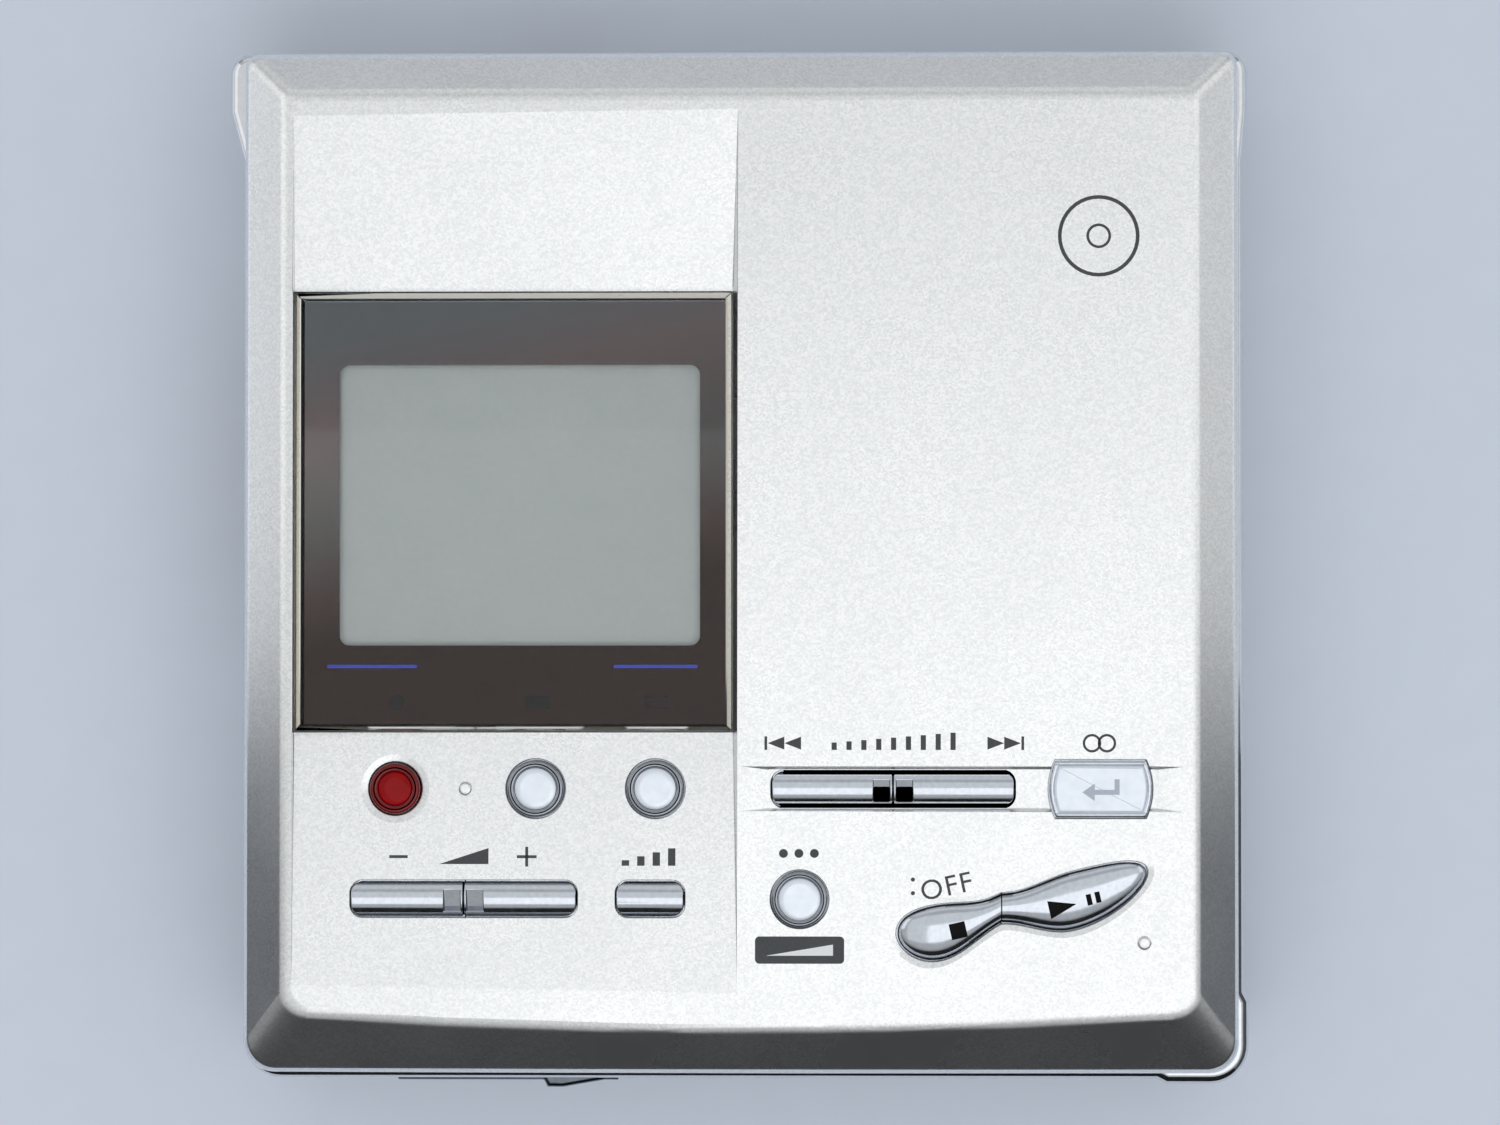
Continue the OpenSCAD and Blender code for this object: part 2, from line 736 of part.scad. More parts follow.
module mechanism_chassis() {
    deck_x = post_x + 1.2;
    slot_x1 = bracket_right - 0.5;
    hang_z = drive_z - wheel_r + 0.8;
    color("#9aa0a4") difference() {
        union() {
            box([-deck_x, holder_y0 + 1, deck_z0], [deck_x, holder_y1 - 0.3, deck_z1]);
            // Ears of the holder's pivots
            for (sx = [-1, 1])
                along_x(sx * (deck_ear_x + deck_ear_t / 2) - deck_ear_t / 2,
                        sx * (deck_ear_x + deck_ear_t / 2) + deck_ear_t / 2)
                    polygon([[bay_y1 - 6, deck_z0], [pivot_y + pivot_tail_r, pivot_z - pivot_tail_r],
                             [pivot_y + pivot_tail_r, pivot_z + pivot_tail_r],
                             [pivot_y - pivot_tail_r, pivot_z + pivot_tail_r], [bay_y1 - 6, deck_z1]]);
            // Brackets of the guide shafts and the lead screw
            for (x = [bracket_left, bracket_right])
                box([x, sled_y0, hang_z], [x + bracket_t, lead_y + 2, deck_z0 + 0.1]);
            // Bracket of the sled motor
            box([motor_x1, pinion_y - 2, hang_z], [motor_x1 + bracket_t, pinion_y + 2.4, deck_z0 + 0.1]);
        }
        rod_z([0, spindle_y], deck_z0 - 1, deck_z1 + 1, spindle_r + 0.6);
        box([sled_x0 - 0.6, spindle_y - 4.2, deck_z0 - 0.05], [slot_x1, spindle_y + 4.2, deck_z1 + 1]);
        for (y = [rail_front, rail_rear])
            rod_x(bracket_left - 1, bracket_right + bracket_t + 1, y, rail_z, shaft_r + fit);
        rod_x(bracket_left - 1, bracket_right + bracket_t + 1, lead_y, drive_z, screw_r + slip);
        rod_x(motor_x1 - 1, motor_x1 + bracket_t + 1, pinion_y, drive_z, 0.6);
        for (sx = [-1, 1])
            rod_x(sx * (deck_ear_x + 0.5) - 2, sx * (deck_ear_x + 0.5) + 2, pivot_y, pivot_z, pivot_r + fit);
    }
}

module chassis_dampers() {
    color("#1d1e20") for (p = post_at) rod_z(p, deck_z0 - damper_h, deck_z0, damper_r);
}

module spindle_motor() {
    color("#b4b8bb") difference() {
        rod_z([0, spindle_y], spindle_motor_z0, deck_z0, spindle_motor_r);
        rod_z([0, spindle_y], spindle_motor_z0 + 0.6, deck_z0 + 1, spindle_r + slip);
    }
}

module turntable() {
    color("#c8ccd0") union() {
        rod_z([0, spindle_y], spindle_motor_z0 + 0.7, deck_z1 + clear + 0.1, spindle_r);
        rod_z([0, spindle_y], deck_z1 + clear, turntable_z - 0.4, turntable_r);
        rod_z([0, spindle_y], turntable_z - 0.5, turntable_z, turntable_r * 0.6);
    }
}

module sled_motor() {
    color("#b4b8bb") difference() {
        rod_x(motor_x1 - motor_len, motor_x1, pinion_y, drive_z, motor_r);
        rod_x(motor_x1 - 3, motor_x1 + 1, pinion_y, drive_z, 0.4 + slip);
    }
}

module motor_pinion() {
    color("#d9c48a") union() {
        rod_x(motor_x1 - 2, wheel_x0 + wheel_t + 0.2, pinion_y, drive_z, 0.4);
        along_x(wheel_x0, wheel_x0 + wheel_t)
            translate([pinion_y, drive_z]) rotate(180 / pinion_teeth) gear_outline(pinion_teeth, gear_module);
    }
}

module lead_screw() {
    color("#c9cdd0") union() {
        rod_x(wheel_x0 - 0.3, bracket_right + bracket_t + 0.3, lead_y, drive_z, screw_r);
        along_x(wheel_x0, wheel_x0 + wheel_t)
            translate([lead_y, drive_z]) gear_outline(wheel_teeth, gear_module);
    }
}

module guide_shafts() {
    color("#c9cdd0") for (y = [rail_front, rail_rear])
        rod_x(bracket_left, bracket_right + bracket_t, y, rail_z, shaft_r);
}

module pickup_sled() {
    lug_z1 = pivot_z + 1.2;
    color("#5c6166") difference() {
        union() {
            box([sled_x0, sled_y0, sled_z0], [sled_x1, sled_y1, sled_z1]);
            rod_z([lens_start, spindle_y], sled_z0, lens_z - 0.4, lens_r + 1.5);
            // Bracket that carries the head arm behind the holder
            box([lens_start - arm_half, sled_y1 - 1, sled_z1 - 1.2],
                [lens_start + arm_half, pivot_y + 1.2, sled_z1]);
            for (sx = [-1, 1])
                translate([lens_start + sx * (arm_half - lug_t / 2), pivot_y, (sled_z1 - 1.2 + lug_z1) / 2])
                    cube([lug_t, 2.4, lug_z1 - sled_z1 + 1.2], center = true);
            rod_x(lens_start - arm_half, lens_start + arm_half, pivot_y, pivot_z, 0.6);
        }
        for (y = [rail_front, rail_rear])
            rod_x(sled_x0 - 1, sled_x1 + 1, y, rail_z, shaft_r + slip);
        rod_x(sled_x0 - 1, sled_x1 + 1, lead_y, drive_z, screw_r + 0.08);
    }
}

module pickup_lens() {
    color("#31406b") rod_z([lens_start, spindle_y], lens_z - 0.4, lens_z, lens_r);
}

module head_arm() {
    beam = 1.5;
    ring_half = arm_half - lug_t - clear;
    color("#aeb3b7") difference() {
        union() {
            rod_x(lens_start - ring_half, lens_start + ring_half, pivot_y, pivot_z, 1.15);
            box([lens_start - ring_half, pivot_y - arm_t, pivot_z],
                [lens_start + ring_half, pivot_y + arm_t, arm_z1]);
            box([lens_start - beam, spindle_y - 3, arm_z0], [lens_start + beam, pivot_y + arm_t, arm_z1]);
        }
        rod_x(lens_start - arm_half, lens_start + arm_half, pivot_y, pivot_z, 0.6 + slip);
    }
}

module magnetic_head() {
    head_w = 3.2;
    head_d = 4;
    head_z0 = cart_z1 + 0.1;
    color("#3a3d40") translate([lens_start, spindle_y, (head_z0 + arm_z0) / 2])
        cube([head_w, head_d, arm_z0 - head_z0], center = true);
}

module disc_holder() {
    lip_w = 2;
    out_x = holder_x + sheet_t;
    tail_root = holder_y1 - 2;
    color("#b7bcc0") difference() {
        union() {
            box([-out_x, holder_y0, cart_z1], [out_x, holder_y1, holder_top]);
            box([-out_x, holder_y1 - sheet_t, cart_z0], [out_x, holder_y1, holder_top]);
            for (sx = [-1, 1]) {
                wall_x0 = sx * (holder_x + sheet_t / 2) - sheet_t / 2;
                wall_x1 = wall_x0 + sheet_t;
                lip_x0 = sx * (out_x - lip_w / 2) - lip_w / 2;
                box([wall_x0, holder_y0, lip_z0], [wall_x1, holder_y1, holder_top]);
                box([lip_x0, holder_y0, lip_z0], [lip_x0 + lip_w, holder_y1, cart_z0]);
                along_x(wall_x0, wall_x1) union() {
                    translate([pivot_y, pivot_z]) circle(pivot_tail_r - 0.2);
                    translate([tail_root, lip_z0]) square([pivot_y - tail_root, pivot_z - lip_z0 + 1.2]);
                }
            }
        }
        for (sx = [-1, 1])
            rod_x(sx * holder_x - 2, sx * holder_x + 2, pivot_y, pivot_z, pivot_r + slip);
        // Slot over which the magnetic head travels
        box([lens_start - 2.4, spindle_y - 3, cart_z1 - 1],
            [lens_start + sled_travel + 2.4, spindle_y + 3, holder_top + 1]);
    }
}

module holder_pins() {
    color("#a9adb0") for (sx = [-1, 1]) {
        out = deck_ear_x + deck_ear_t;
        inner = holder_x - 0.2;
        rod_x(sx > 0 ? inner : -out, sx > 0 ? out : -inner, pivot_y, pivot_z, pivot_r);
    }
}

// Base: sockets and cell

module socket_panel() {
    color("#b9bdc0") difference() {
        box([-half_w, jack_y0, jack_z0], [-cavity_x, jack_y1, lower_h]);
        for (y = socket_y)
            box([-half_w - 1, y - socket_w / 2 - gap, socket_z - socket_h / 2 - gap],
                [-cavity_x + 1, y + socket_w / 2 + gap, socket_z + socket_h / 2 + gap]);
    }
}

// Plug socket with its mouth flush with the left side
module plug_socket(i) {
    color("#26282b") difference() {
        box([-half_w, socket_y[i] - socket_w / 2, socket_z - socket_h / 2],
            [-half_w + socket_len + 1.5, socket_y[i] + socket_w / 2, socket_z + socket_h / 2]);
        rod_x(-half_w - 1, -half_w + socket_len, socket_y[i], socket_z, plug_r);
    }
}

module headphone_socket() {
    plug_socket(0);
}

module microphone_socket() {
    plug_socket(1);
}

module line_socket() {
    plug_socket(2);
}

module supply_socket() {
    inner_w = supply_w - 2 * supply_wall;
    color("#26282b") difference() {
        box([supply_x - supply_w / 2, half_d - supply_len, board_z1],
            [supply_x + supply_w / 2, half_d, board_z1 + supply_h]);
        box([supply_x - inner_w / 2, half_d - supply_len + supply_back, board_z1 + supply_wall],
            [supply_x + inner_w / 2, half_d + 1, board_z1 + supply_h - supply_wall]);
    }
}

module cell() {
    color("#c9b25a") translate([cell_x0, (cell_y0 + cell_y1) / 2, cell_z0 + cell_h / 2])
        rotate([90, 0, 90]) linear_extrude(cell_len) round_rect(cell_d, cell_h, 1);
}

module cell_contacts() {
    mid_y = (cell_y0 + cell_y1) / 2;
    color("#d8c070") for (sy = [-1, 1])
        box([cell_x0 - contact_t - slip, mid_y + sy * contact_out - contact_w / 2, floor_t],
            [cell_x0 - slip, mid_y + sy * contact_out + contact_w / 2, cell_z0 + cell_h - contact_drop]);
}

module cell_door() {
    color("#b9bdc0") difference() {
        union() {
            box([cavity_x, door_y0, door_z0], [half_w, door_pin_y, door_z1]);
            rod_z([half_w - knuckle_r, door_pin_y], door_z0, door_z1, knuckle_r);
        }
        rod_z([half_w - knuckle_r, door_pin_y], door_z0 - 1, door_z1 + 1, door_pin_r + slip);
    }
}

module cell_door_pin() {
    color("#a9adb0") rod_z([half_w - knuckle_r, door_pin_y], door_z0 - gap - door_pin_reach + 0.1,
        door_z1 + gap + door_pin_reach - 0.1, door_pin_r);
}

// Levers in the belt

module open_lever() {
    face_y = -belt_d / 2;
    wall_in = face_y + belt_wall + gap;
    nub_x0 = lever_x1 - nub_len;
    color("#d5d8da") union() {
        box([lever_x1 - lever_len, face_y - lever_proud, lever_z - lever_h / 2],
            [lever_x1, wall_in + 0.1, lever_z + lever_h / 2]);
        box([lever_x1 - lever_len + 1, wall_in, lever_z - lever_bar_h / 2],
            [lever_x1 + 1, wall_in + lever_bar_t, lever_z + lever_bar_h / 2]);
        translate([0, 0, lever_z - lever_h / 2]) linear_extrude(lever_h)
            polygon([[nub_x0, face_y + 0.5], [nub_x0 + 0.7, face_y - nub_proud],
                     [nub_x0 + 2, face_y - nub_proud], [lever_x1, face_y - 0.1], [lever_x1, face_y + 0.5]]);
    }
}

module hold_slider() {
    face_x = belt_w / 2;
    wall_in = face_x - belt_wall - gap;
    color("#4a4d50") union() {
        box([wall_in - 0.1, hold_y - hold_len / 2, lever_z - hold_h / 2],
            [face_x + hold_proud, hold_y + hold_len / 2, lever_z + hold_h / 2]);
        box([wall_in - 0.7, hold_y - hold_len / 2 + 0.3, lever_z - hold_h / 2 - 0.7],
            [wall_in, hold_y + hold_len / 2 - 0.3, lever_z + hold_h / 2 + 0.7]);
    }
}

// Lid

// Bevel cut on the side that faces +X of an outline half as wide as h
module bevel_cut(h, len) {
    foot = lid_top - bevel_drop;
    over = h + hull_over;
    along_y(len) polygon([[h - bevel_w, lid_top], [h, foot], [over, foot],
                          [over, lid_top + hull_over], [h - bevel_w, lid_top + hull_over]]);
}

// Outer form of the lid: prism with three flat bevels and a bowed front bevel
module lid_form() {
    chord = half_w - bevel_w;
    bow_r = (chord * chord + front_bow * front_bow) / (2 * front_bow);
    slope = front_bevel_w / bevel_drop;
    difference() {
        intersection() {
            translate([0, 0, lid_z0]) linear_extrude(lid_h) case_outline(case_w, case_d, 0);
            translate([0, bow_r + front_bevel_w - half_d, lid_z0])
                cylinder(h = lid_h, r1 = bow_r + lid_h * slope, r2 = bow_r, $fn = cone_fn);
        }
        for (turn = [0, 180]) rotate(turn) bevel_cut(half_w, 2 * case_d);
        rotate(90) bevel_cut(half_d, 2 * case_w);
    }
}

module top_cover() {
    groove_z = lid_top - groove_depth;
    valley_z = lid_top - panel_depth;
    dish_r = record_dia / 2 + key_gap;
    cavity_side = half_w - lid_wall;
    cavity_front = -half_d + lid_front_wall;
    cavity_rear = half_d - lid_wall;
    // Raised dots that a thumb can find
    color("#d9dbdc") for (p = dots_at) rod_z(p, p[2] - dot_root, p[2] + dot_h, dot_r);
    color("#d9dbdc") difference() {
        union() {
            difference() {
                lid_form();
                box([-cavity_side, cavity_front, lid_z0 - 1], [cavity_side, cavity_rear, ceiling]);
            }
            for (p = lid_boss_at) {
                rod_z(p, key_board_z1, ceiling + 0.1, lid_boss_r);
                rod_z(p, plate_z1, ceiling, lid_neck_r);
            }
            // Hinge knuckles on both sides of each ear
            for (sx = [-1, 1])
                rod_x(sx * ear_x - ear_w / 2 - knuckle_len - gap, sx * ear_x + ear_w / 2 + knuckle_len + gap,
                    hinge_y, hinge_z, hinge_r);
        }
        for (p = lid_boss_at) rod_z(p, plate_z1 - 1, ceiling - 0.4, lid_screw_r + fit);
        // Rounding of the rear lower edge about the hinge axis
        difference() {
            box([-case_w, hinge_y, lid_z0 - 1], [case_w, half_d + 1, hinge_z]);
            rod_x(-2 * case_w, 2 * case_w, hinge_y, hinge_z, hinge_r);
        }
        for (sx = [-1, 1]) {
            box([sx * ear_x - ear_w / 2 - gap, hinge_y - hinge_r - clear, lid_z0 - 1],
                [sx * ear_x + ear_w / 2 + gap, half_d + 1, hinge_z + hinge_r + gap]);
            rod_x(sx * ear_x - pin_len / 2 - gap, sx * ear_x + pin_len / 2 + gap, hinge_y, hinge_z,
                hinge_pin_r + slip);
        }
        // Sunken panel and the opening of the display tile
        along_x(panel_x0, panel_x1)
            polygon([[panel_rear, lid_top], [valley_rear, valley_z], [valley_front, valley_z],
                     [panel_front, lid_top], [panel_front, lid_top + 1], [panel_rear, lid_top + 1]]);
        box([tile_x0 - tile_gap, tile_y0 - tile_gap, ceiling - 1],
            [tile_x1 + tile_gap, tile_y1 + tile_gap, lid_top + 1]);
        // Dishes round the buttons, and the groove of the skip bar
        translate([record_at[0], record_at[1], panel_z(row1_y) - dish_depth])
            cylinder(h = 2, r1 = dish_r, r2 = dish_r + 2 * dish_w / dish_depth);
        box([skip_x0 - groove_run, skip_y - groove_d / 2, groove_z],
            [enter_at[0] + enter_w / 2 + groove_run, skip_y + groove_d / 2, lid_top + 1]);
        // Holes of the keys
        translate([0, 0, ceiling - 1]) linear_extrude(top_t + 2) {
            translate(record_at) circle(record_dia / 2 + key_gap);
            translate(display_at) circle(round_dia / 2 + key_gap);
            translate(edit_at) circle(round_dia / 2 + key_gap);
            translate(mode_at) circle(mode_dia / 2 + key_gap);
            bar_outline(volume_x0, volume_x1, row2_y, bar_d, key_gap);
            bar_outline(bass_x0, bass_x1, row2_y, bar_d, key_gap);
            bar_outline(skip_x0, skip_x1, skip_y, bar_d, key_gap);
            enter_outline(key_gap);
            wave_outline(wave_x0 - key_gap, wave_split, key_gap);
            wave_outline(wave_split, wave_x1 + key_gap, key_gap);
        }
    }
}

module display_tile() {
    mid_y = (tile_y0 + tile_y1) / 2;
    color([0.75, 0.8, 0.82, 0.5]) translate([tile_mid, mid_y, 0]) difference() {
        translate([0, 0, tile_z0]) linear_extrude(tile_z1 - tile_z0) square([tile_w, tile_d], center = true);
        for (turn = [0 : 90 : 270]) {
            half = turn % 180 == 0 ? tile_w / 2 : tile_d / 2;
            foot = tile_z1 - tile_bevel;
            rotate(turn) along_y(2 * (tile_w + tile_d))
                polygon([[half - tile_bevel, tile_z1], [half, foot], [half + 1, foot],
                         [half + 1, tile_z1 + 1], [half - tile_bevel, tile_z1 + 1]]);
        }
    }
}

module display_film() {
    color("#4a4a4c") translate([0, 0, ceiling]) linear_extrude(film_t) difference() {
        translate([tile_x0, tile_y0]) square([tile_w, tile_d]);
        translate([window_x0 + window_w / 2, window_y0 + window_d / 2])
            round_rect(window_w, window_d, window_r);
    }
}

// Block a little larger than the display's window
module lcd_block(side, z0, z1) {
    box([window_x0 - side, window_y0 - side, z0], [window_x0 + window_w + side, window_y1 + side, z1]);
}

module lcd_panel() {
    color("#9aa19c") lcd_block(lcd_side, lcd_z0, lcd_z1);
}

module lcd_frame() {
    out = lcd_frame_w;
    color("#e4e4e0") difference() {
        box([tile_x0 - out, tile_y0 - out, key_board_z1], [tile_x1 + out, tile_y1 + out, ceiling]);
        lcd_block(lcd_side + slip, lcd_z0, ceiling + 1);
    }
}

module key_board() {
    color("#2e6b45") difference() {
        box([-half_w + lid_wall + clear, -half_d + lid_front_wall + clear, key_board_z0],
            [half_w - lid_wall - clear, half_d - lid_wall - 2, key_board_z1]);
        for (p = lid_boss_at) rod_z(p, key_board_z0 - 1, key_board_z1 + 1, lid_neck_r + slip);
    }
}

module dome_switches() {
    volume_ends = [[volume_x0, volume_mid], [volume_mid, volume_x1], [bass_x0, bass_x1]];
    skip_ends = [[skip_x0, skip_mid], [skip_mid, skip_x1]];
    volume_at = [for (e = volume_ends) [(e[0] + e[1]) / 2, row2_y]];
    skip_at = [for (e = skip_ends) [(e[0] + e[1]) / 2, skip_y]];
    others = [record_at, display_at, edit_at, enter_at, mode_at, stop_at(), play_at()];
    color("#b8bcc0") for (p = concat(volume_at, skip_at, others))
        rod_z(p, key_board_z1, key_board_z1 + dome_h, dome_r);
}

module lid_plate() {
    color("#9aa0a4") difference() {
        box([-half_w + lid_wall + clear, -half_d + lid_front_wall + clear, plate_z0],
            [half_w - lid_wall - clear, hinge_y - hinge_r - clear, plate_z1]);
        for (p = lid_boss_at) rod_z(p, plate_z0 - 1, plate_z1 + 1, lid_screw_r + slip);
    }
}

module lid_screws() {
    color("#8b8f93") for (p = lid_boss_at) {
        rod_z(p, plate_z0 - lid_head_t, plate_z0, lid_head_r);
        rod_z(p, plate_z0 - lid_head_t, ceiling - 1, lid_screw_r);
    }
}

module latch_hook() {
    hook_y = -belt_d / 2 + belt_wall + 0.5;
    hook_x = lever_x1 + 1 + clear;
    color("#a9adb0") box([hook_x, hook_y, lid_z0 - hook_drop], [hook_x + hook_w, hook_y + hook_t, lid_z0]);
}

// Keys

function stop_at() = [(wave_x0 + wave_split) / 2, wave_mid((wave_x0 + wave_split) / 2)];
function play_at() = [(wave_split + wave_x1) / 2, wave_mid((wave_split + wave_x1) / 2)];

module record_button() {
    color("#a01018") round_key(record_at, record_dia, panel_z(row1_y));
}

module display_button() {
    color("#c4ccd6") round_key(display_at, round_dia, panel_z(row1_y));
}

module edit_button() {
    color("#c4ccd6") round_key(edit_at, round_dia, panel_z(row1_y));
}

module mode_button() {
    color("#c4ccd6") round_key(mode_at, mode_dia, lid_top);
}

module volume_down_key() {
    color("#c8ccd0") bar_key(volume_x0, volume_mid - split_gap / 2, row2_y, panel_z(row2_y));
}

module volume_up_key() {
    color("#c8ccd0") bar_key(volume_mid + split_gap / 2, volume_x1, row2_y, panel_z(row2_y));
}

module bass_button() {
    color("#c8ccd0") bar_key(bass_x0, bass_x1, row2_y, panel_z(row2_y));
}

module skip_back_key() {
    color("#c8ccd0") bar_key(skip_x0, skip_mid - split_gap / 2, skip_y, lid_top - groove_depth);
}

module skip_forward_key() {
    color("#c8ccd0") bar_key(skip_mid + split_gap / 2, skip_x1, skip_y, lid_top - groove_depth);
}

module enter_button() {
    color("#c4ccd6") key_body(enter_at, lid_top + key_proud) {
        enter_outline();
        enter_outline(flange_w);
    }
}

module stop_key() {
    color("#c8ccd0") key_body(stop_at(), lid_top + key_proud) {
        wave_outline(wave_x0, wave_split - split_gap / 2);
        wave_outline(wave_x0 - flange_w, wave_split - split_gap / 2, flange_w);
    }
}

module play_key() {
    color("#c8ccd0") key_body(play_at(), lid_top + key_proud) {
        wave_outline(wave_split + split_gap / 2, wave_x1);
        wave_outline(wave_split + split_gap / 2, wave_x1 + flange_w, flange_w);
    }
}

bottom_cover();
side_frame();
case_screws();
hinge_pins();
main_board();
board_chips();
mechanism_chassis();
chassis_dampers();
spindle_motor();
turntable();
sled_motor();
motor_pinion();
lead_screw();
guide_shafts();
pickup_sled();
pickup_lens();
head_arm();
magnetic_head();
disc_holder();
holder_pins();
socket_panel();
headphone_socket();
microphone_socket();
line_socket();
supply_socket();
cell();
cell_contacts();
cell_door();
cell_door_pin();
open_lever();
hold_slider();
top_cover();
display_tile();
display_film();
lcd_panel();
lcd_frame();
key_board();
dome_switches();
lid_plate();
lid_screws();
latch_hook();
record_button();
display_button();
edit_button();
volume_down_key();
volume_up_key();
bass_button();
skip_back_key();
skip_forward_key();
enter_button();
mode_button();
stop_key();
play_key();
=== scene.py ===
# %% [markdown]
# # A pocket disc recorder, seen from above
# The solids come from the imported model, in metres, with the flat base on the floor and the hinge at +Y.
# They stay as the fixed frame. This lesson models the pieces that the eye meets, in the same places,
# and gives every solid inside the case its own finish.

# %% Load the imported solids
from math import asin, cos, hypot, pi, radians, sin, sqrt

import bmesh
import bpy
from mathutils import Matrix, Vector


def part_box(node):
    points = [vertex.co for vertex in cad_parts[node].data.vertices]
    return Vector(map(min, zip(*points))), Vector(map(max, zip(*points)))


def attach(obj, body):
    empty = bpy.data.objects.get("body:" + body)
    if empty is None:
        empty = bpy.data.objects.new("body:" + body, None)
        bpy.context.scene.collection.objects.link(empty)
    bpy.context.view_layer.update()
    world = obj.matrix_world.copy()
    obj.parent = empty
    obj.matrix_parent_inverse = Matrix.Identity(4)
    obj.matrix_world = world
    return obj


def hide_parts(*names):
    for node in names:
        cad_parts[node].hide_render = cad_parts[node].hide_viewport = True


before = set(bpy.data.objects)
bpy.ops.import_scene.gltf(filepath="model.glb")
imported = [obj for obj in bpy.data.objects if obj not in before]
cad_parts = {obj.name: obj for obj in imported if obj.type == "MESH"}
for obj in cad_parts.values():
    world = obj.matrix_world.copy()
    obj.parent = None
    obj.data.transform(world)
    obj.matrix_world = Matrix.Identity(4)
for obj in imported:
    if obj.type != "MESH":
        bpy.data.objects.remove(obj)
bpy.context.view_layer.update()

MM = 0.001
MERGE = 0.002

# %% [markdown]
# ## Tools of the bench
# A modeller works on one object at a time: everything is let go, one piece is taken up, and faces or
# edges are picked by where they are. These helpers do just that, so each later cell reads as a list of
# moves. Sizes are written in millimetres, as on a drawing.

# %% Take up a piece, pick parts of it, apply a modifier
def take(piece):
    if bpy.context.mode != "OBJECT":
        bpy.ops.object.mode_set(mode="OBJECT")
    bpy.ops.object.select_all(action="DESELECT")
    if piece:
        piece.select_set(True)
    bpy.context.view_layer.objects.active = piece


def edit(piece, kind, action="DESELECT"):
    take(piece)
    bpy.ops.object.mode_set(mode="EDIT")
    bpy.ops.mesh.select_mode(type=kind)
    bpy.ops.mesh.select_all(action=action)


def pick(piece, kind, test):
    shape = bmesh.from_edit_mesh(piece.data)
    parts = {"VERT": shape.verts, "EDGE": shape.edges, "FACE": shape.faces}[kind]
    for part in parts:
        if test(part):
            part.select_set(True)
    shape.select_flush_mode()
    bmesh.update_edit_mesh(piece.data)


def between(low, high):
    return lambda part: all(low <= corner.co.z / MM <= high for corner in part.verts)


def at_height(z):
    return between(z - 0.01, z + 0.01)


def lift(height):
    bpy.ops.mesh.extrude_region_move(TRANSFORM_OT_translate={"value": (0, 0, height * MM)})


def round_edges(piece, test, width, segments):
    edit(piece, "EDGE")
    pick(piece, "EDGE", test)
    bpy.ops.mesh.bevel(offset=width * MM, segments=segments, affect="EDGES")
    take(piece)


def modify(piece, kind, **settings):
    take(piece)
    modifier = piece.modifiers.new(kind.lower(), kind)
    for key, value in settings.items():
        setattr(modifier, key, value)
    bpy.ops.object.modifier_apply(modifier=modifier.name)


def cut(piece, tool):
    modify(piece, "BOOLEAN", operation="DIFFERENCE", object=tool, solver="EXACT")
    bpy.data.objects.remove(tool)


def weld(piece, tool):
    modify(piece, "BOOLEAN", operation="UNION", object=tool, solver="EXACT")
    bpy.data.objects.remove(tool)


def soften(piece, width, segments=2, angle=30):
    modify(piece, "BEVEL", width=width * MM, segments=segments, limit_method="ANGLE",
           angle_limit=radians(angle), use_clamp_overlap=False)


def close_up(piece):
    edit(piece, "VERT", "SELECT")
    bpy.ops.mesh.remove_doubles(threshold=MERGE * MM)
    bpy.ops.mesh.normals_make_consistent(inside=False)
    take(piece)


def polish(piece, angle=35):
    take(piece)
    bpy.ops.object.shade_smooth_by_angle(angle=radians(angle))
    modify(piece, "WEIGHTED_NORMAL", keep_sharp=True, weight=60)


def settle(piece, body, finish, slot, *nodes):
    piece.data.materials.clear()
    for material in finish if isinstance(finish, list) else [finish]:
        piece.data.materials.append(material)
    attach(piece, body)
    if nodes:
        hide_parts(*nodes)
    print("made", piece.name, "with", len(piece.data.polygons), "faces")


print("bench ready")

# %% [markdown]
# Many pieces here start as an outline that is drawn up into a solid: a flat ring is added, its points
# are set on the outline, and the face is extruded. The upper outline may differ, which gives a flare.

# %% Solids from outlines, boxes and round bars
def raise_outline(name, low, z0, z1, high=None):
    take(None)
    bpy.ops.mesh.primitive_circle_add(vertices=len(low), radius=0.01, fill_type="NGON")
    piece = bpy.context.object
    piece.name = name
    for corner, (x, y) in zip(piece.data.vertices, low):
        corner.co = (x * MM, y * MM, z0 * MM)
    edit(piece, "FACE", "SELECT")
    lift(z1 - z0)
    take(piece)
    if high:
        places = {(round(x, 3), round(y, 3)): target for (x, y), target in zip(low, high)}
        for corner in piece.data.vertices:
            if abs(corner.co.z - z1 * MM) < 1e-7:
                target = places[round(corner.co.x / MM, 3), round(corner.co.y / MM, 3)]
                corner.co.x, corner.co.y = target[0] * MM, target[1] * MM
    close_up(piece)
    return piece


def block(name, low, high):
    take(None)
    bpy.ops.mesh.primitive_cube_add(size=1)
    piece = bpy.context.object
    piece.name = name
    edit(piece, "VERT", "SELECT")
    bpy.ops.transform.resize(value=[(b - a) * MM for a, b in zip(low, high)], center_override=(0, 0, 0))
    bpy.ops.transform.translate(value=[(a + b) / 2 * MM for a, b in zip(low, high)])
    take(piece)
    return piece


def turn_up(piece, axis):
    for corner in piece.data.vertices:
        a, b, c = corner.co
        corner.co = (c, a, b) if axis == "X" else (a, c, b)
    close_up(piece)
    return piece


def run_along(axis, name, outline, start, end):
    return turn_up(raise_outline(name, outline, start, end), axis)


def ring(x, y, radius, count=48):
    turns = [2 * pi * i / count for i in range(count)]
    return [(x + radius * cos(turn), y + radius * sin(turn)) for turn in turns]


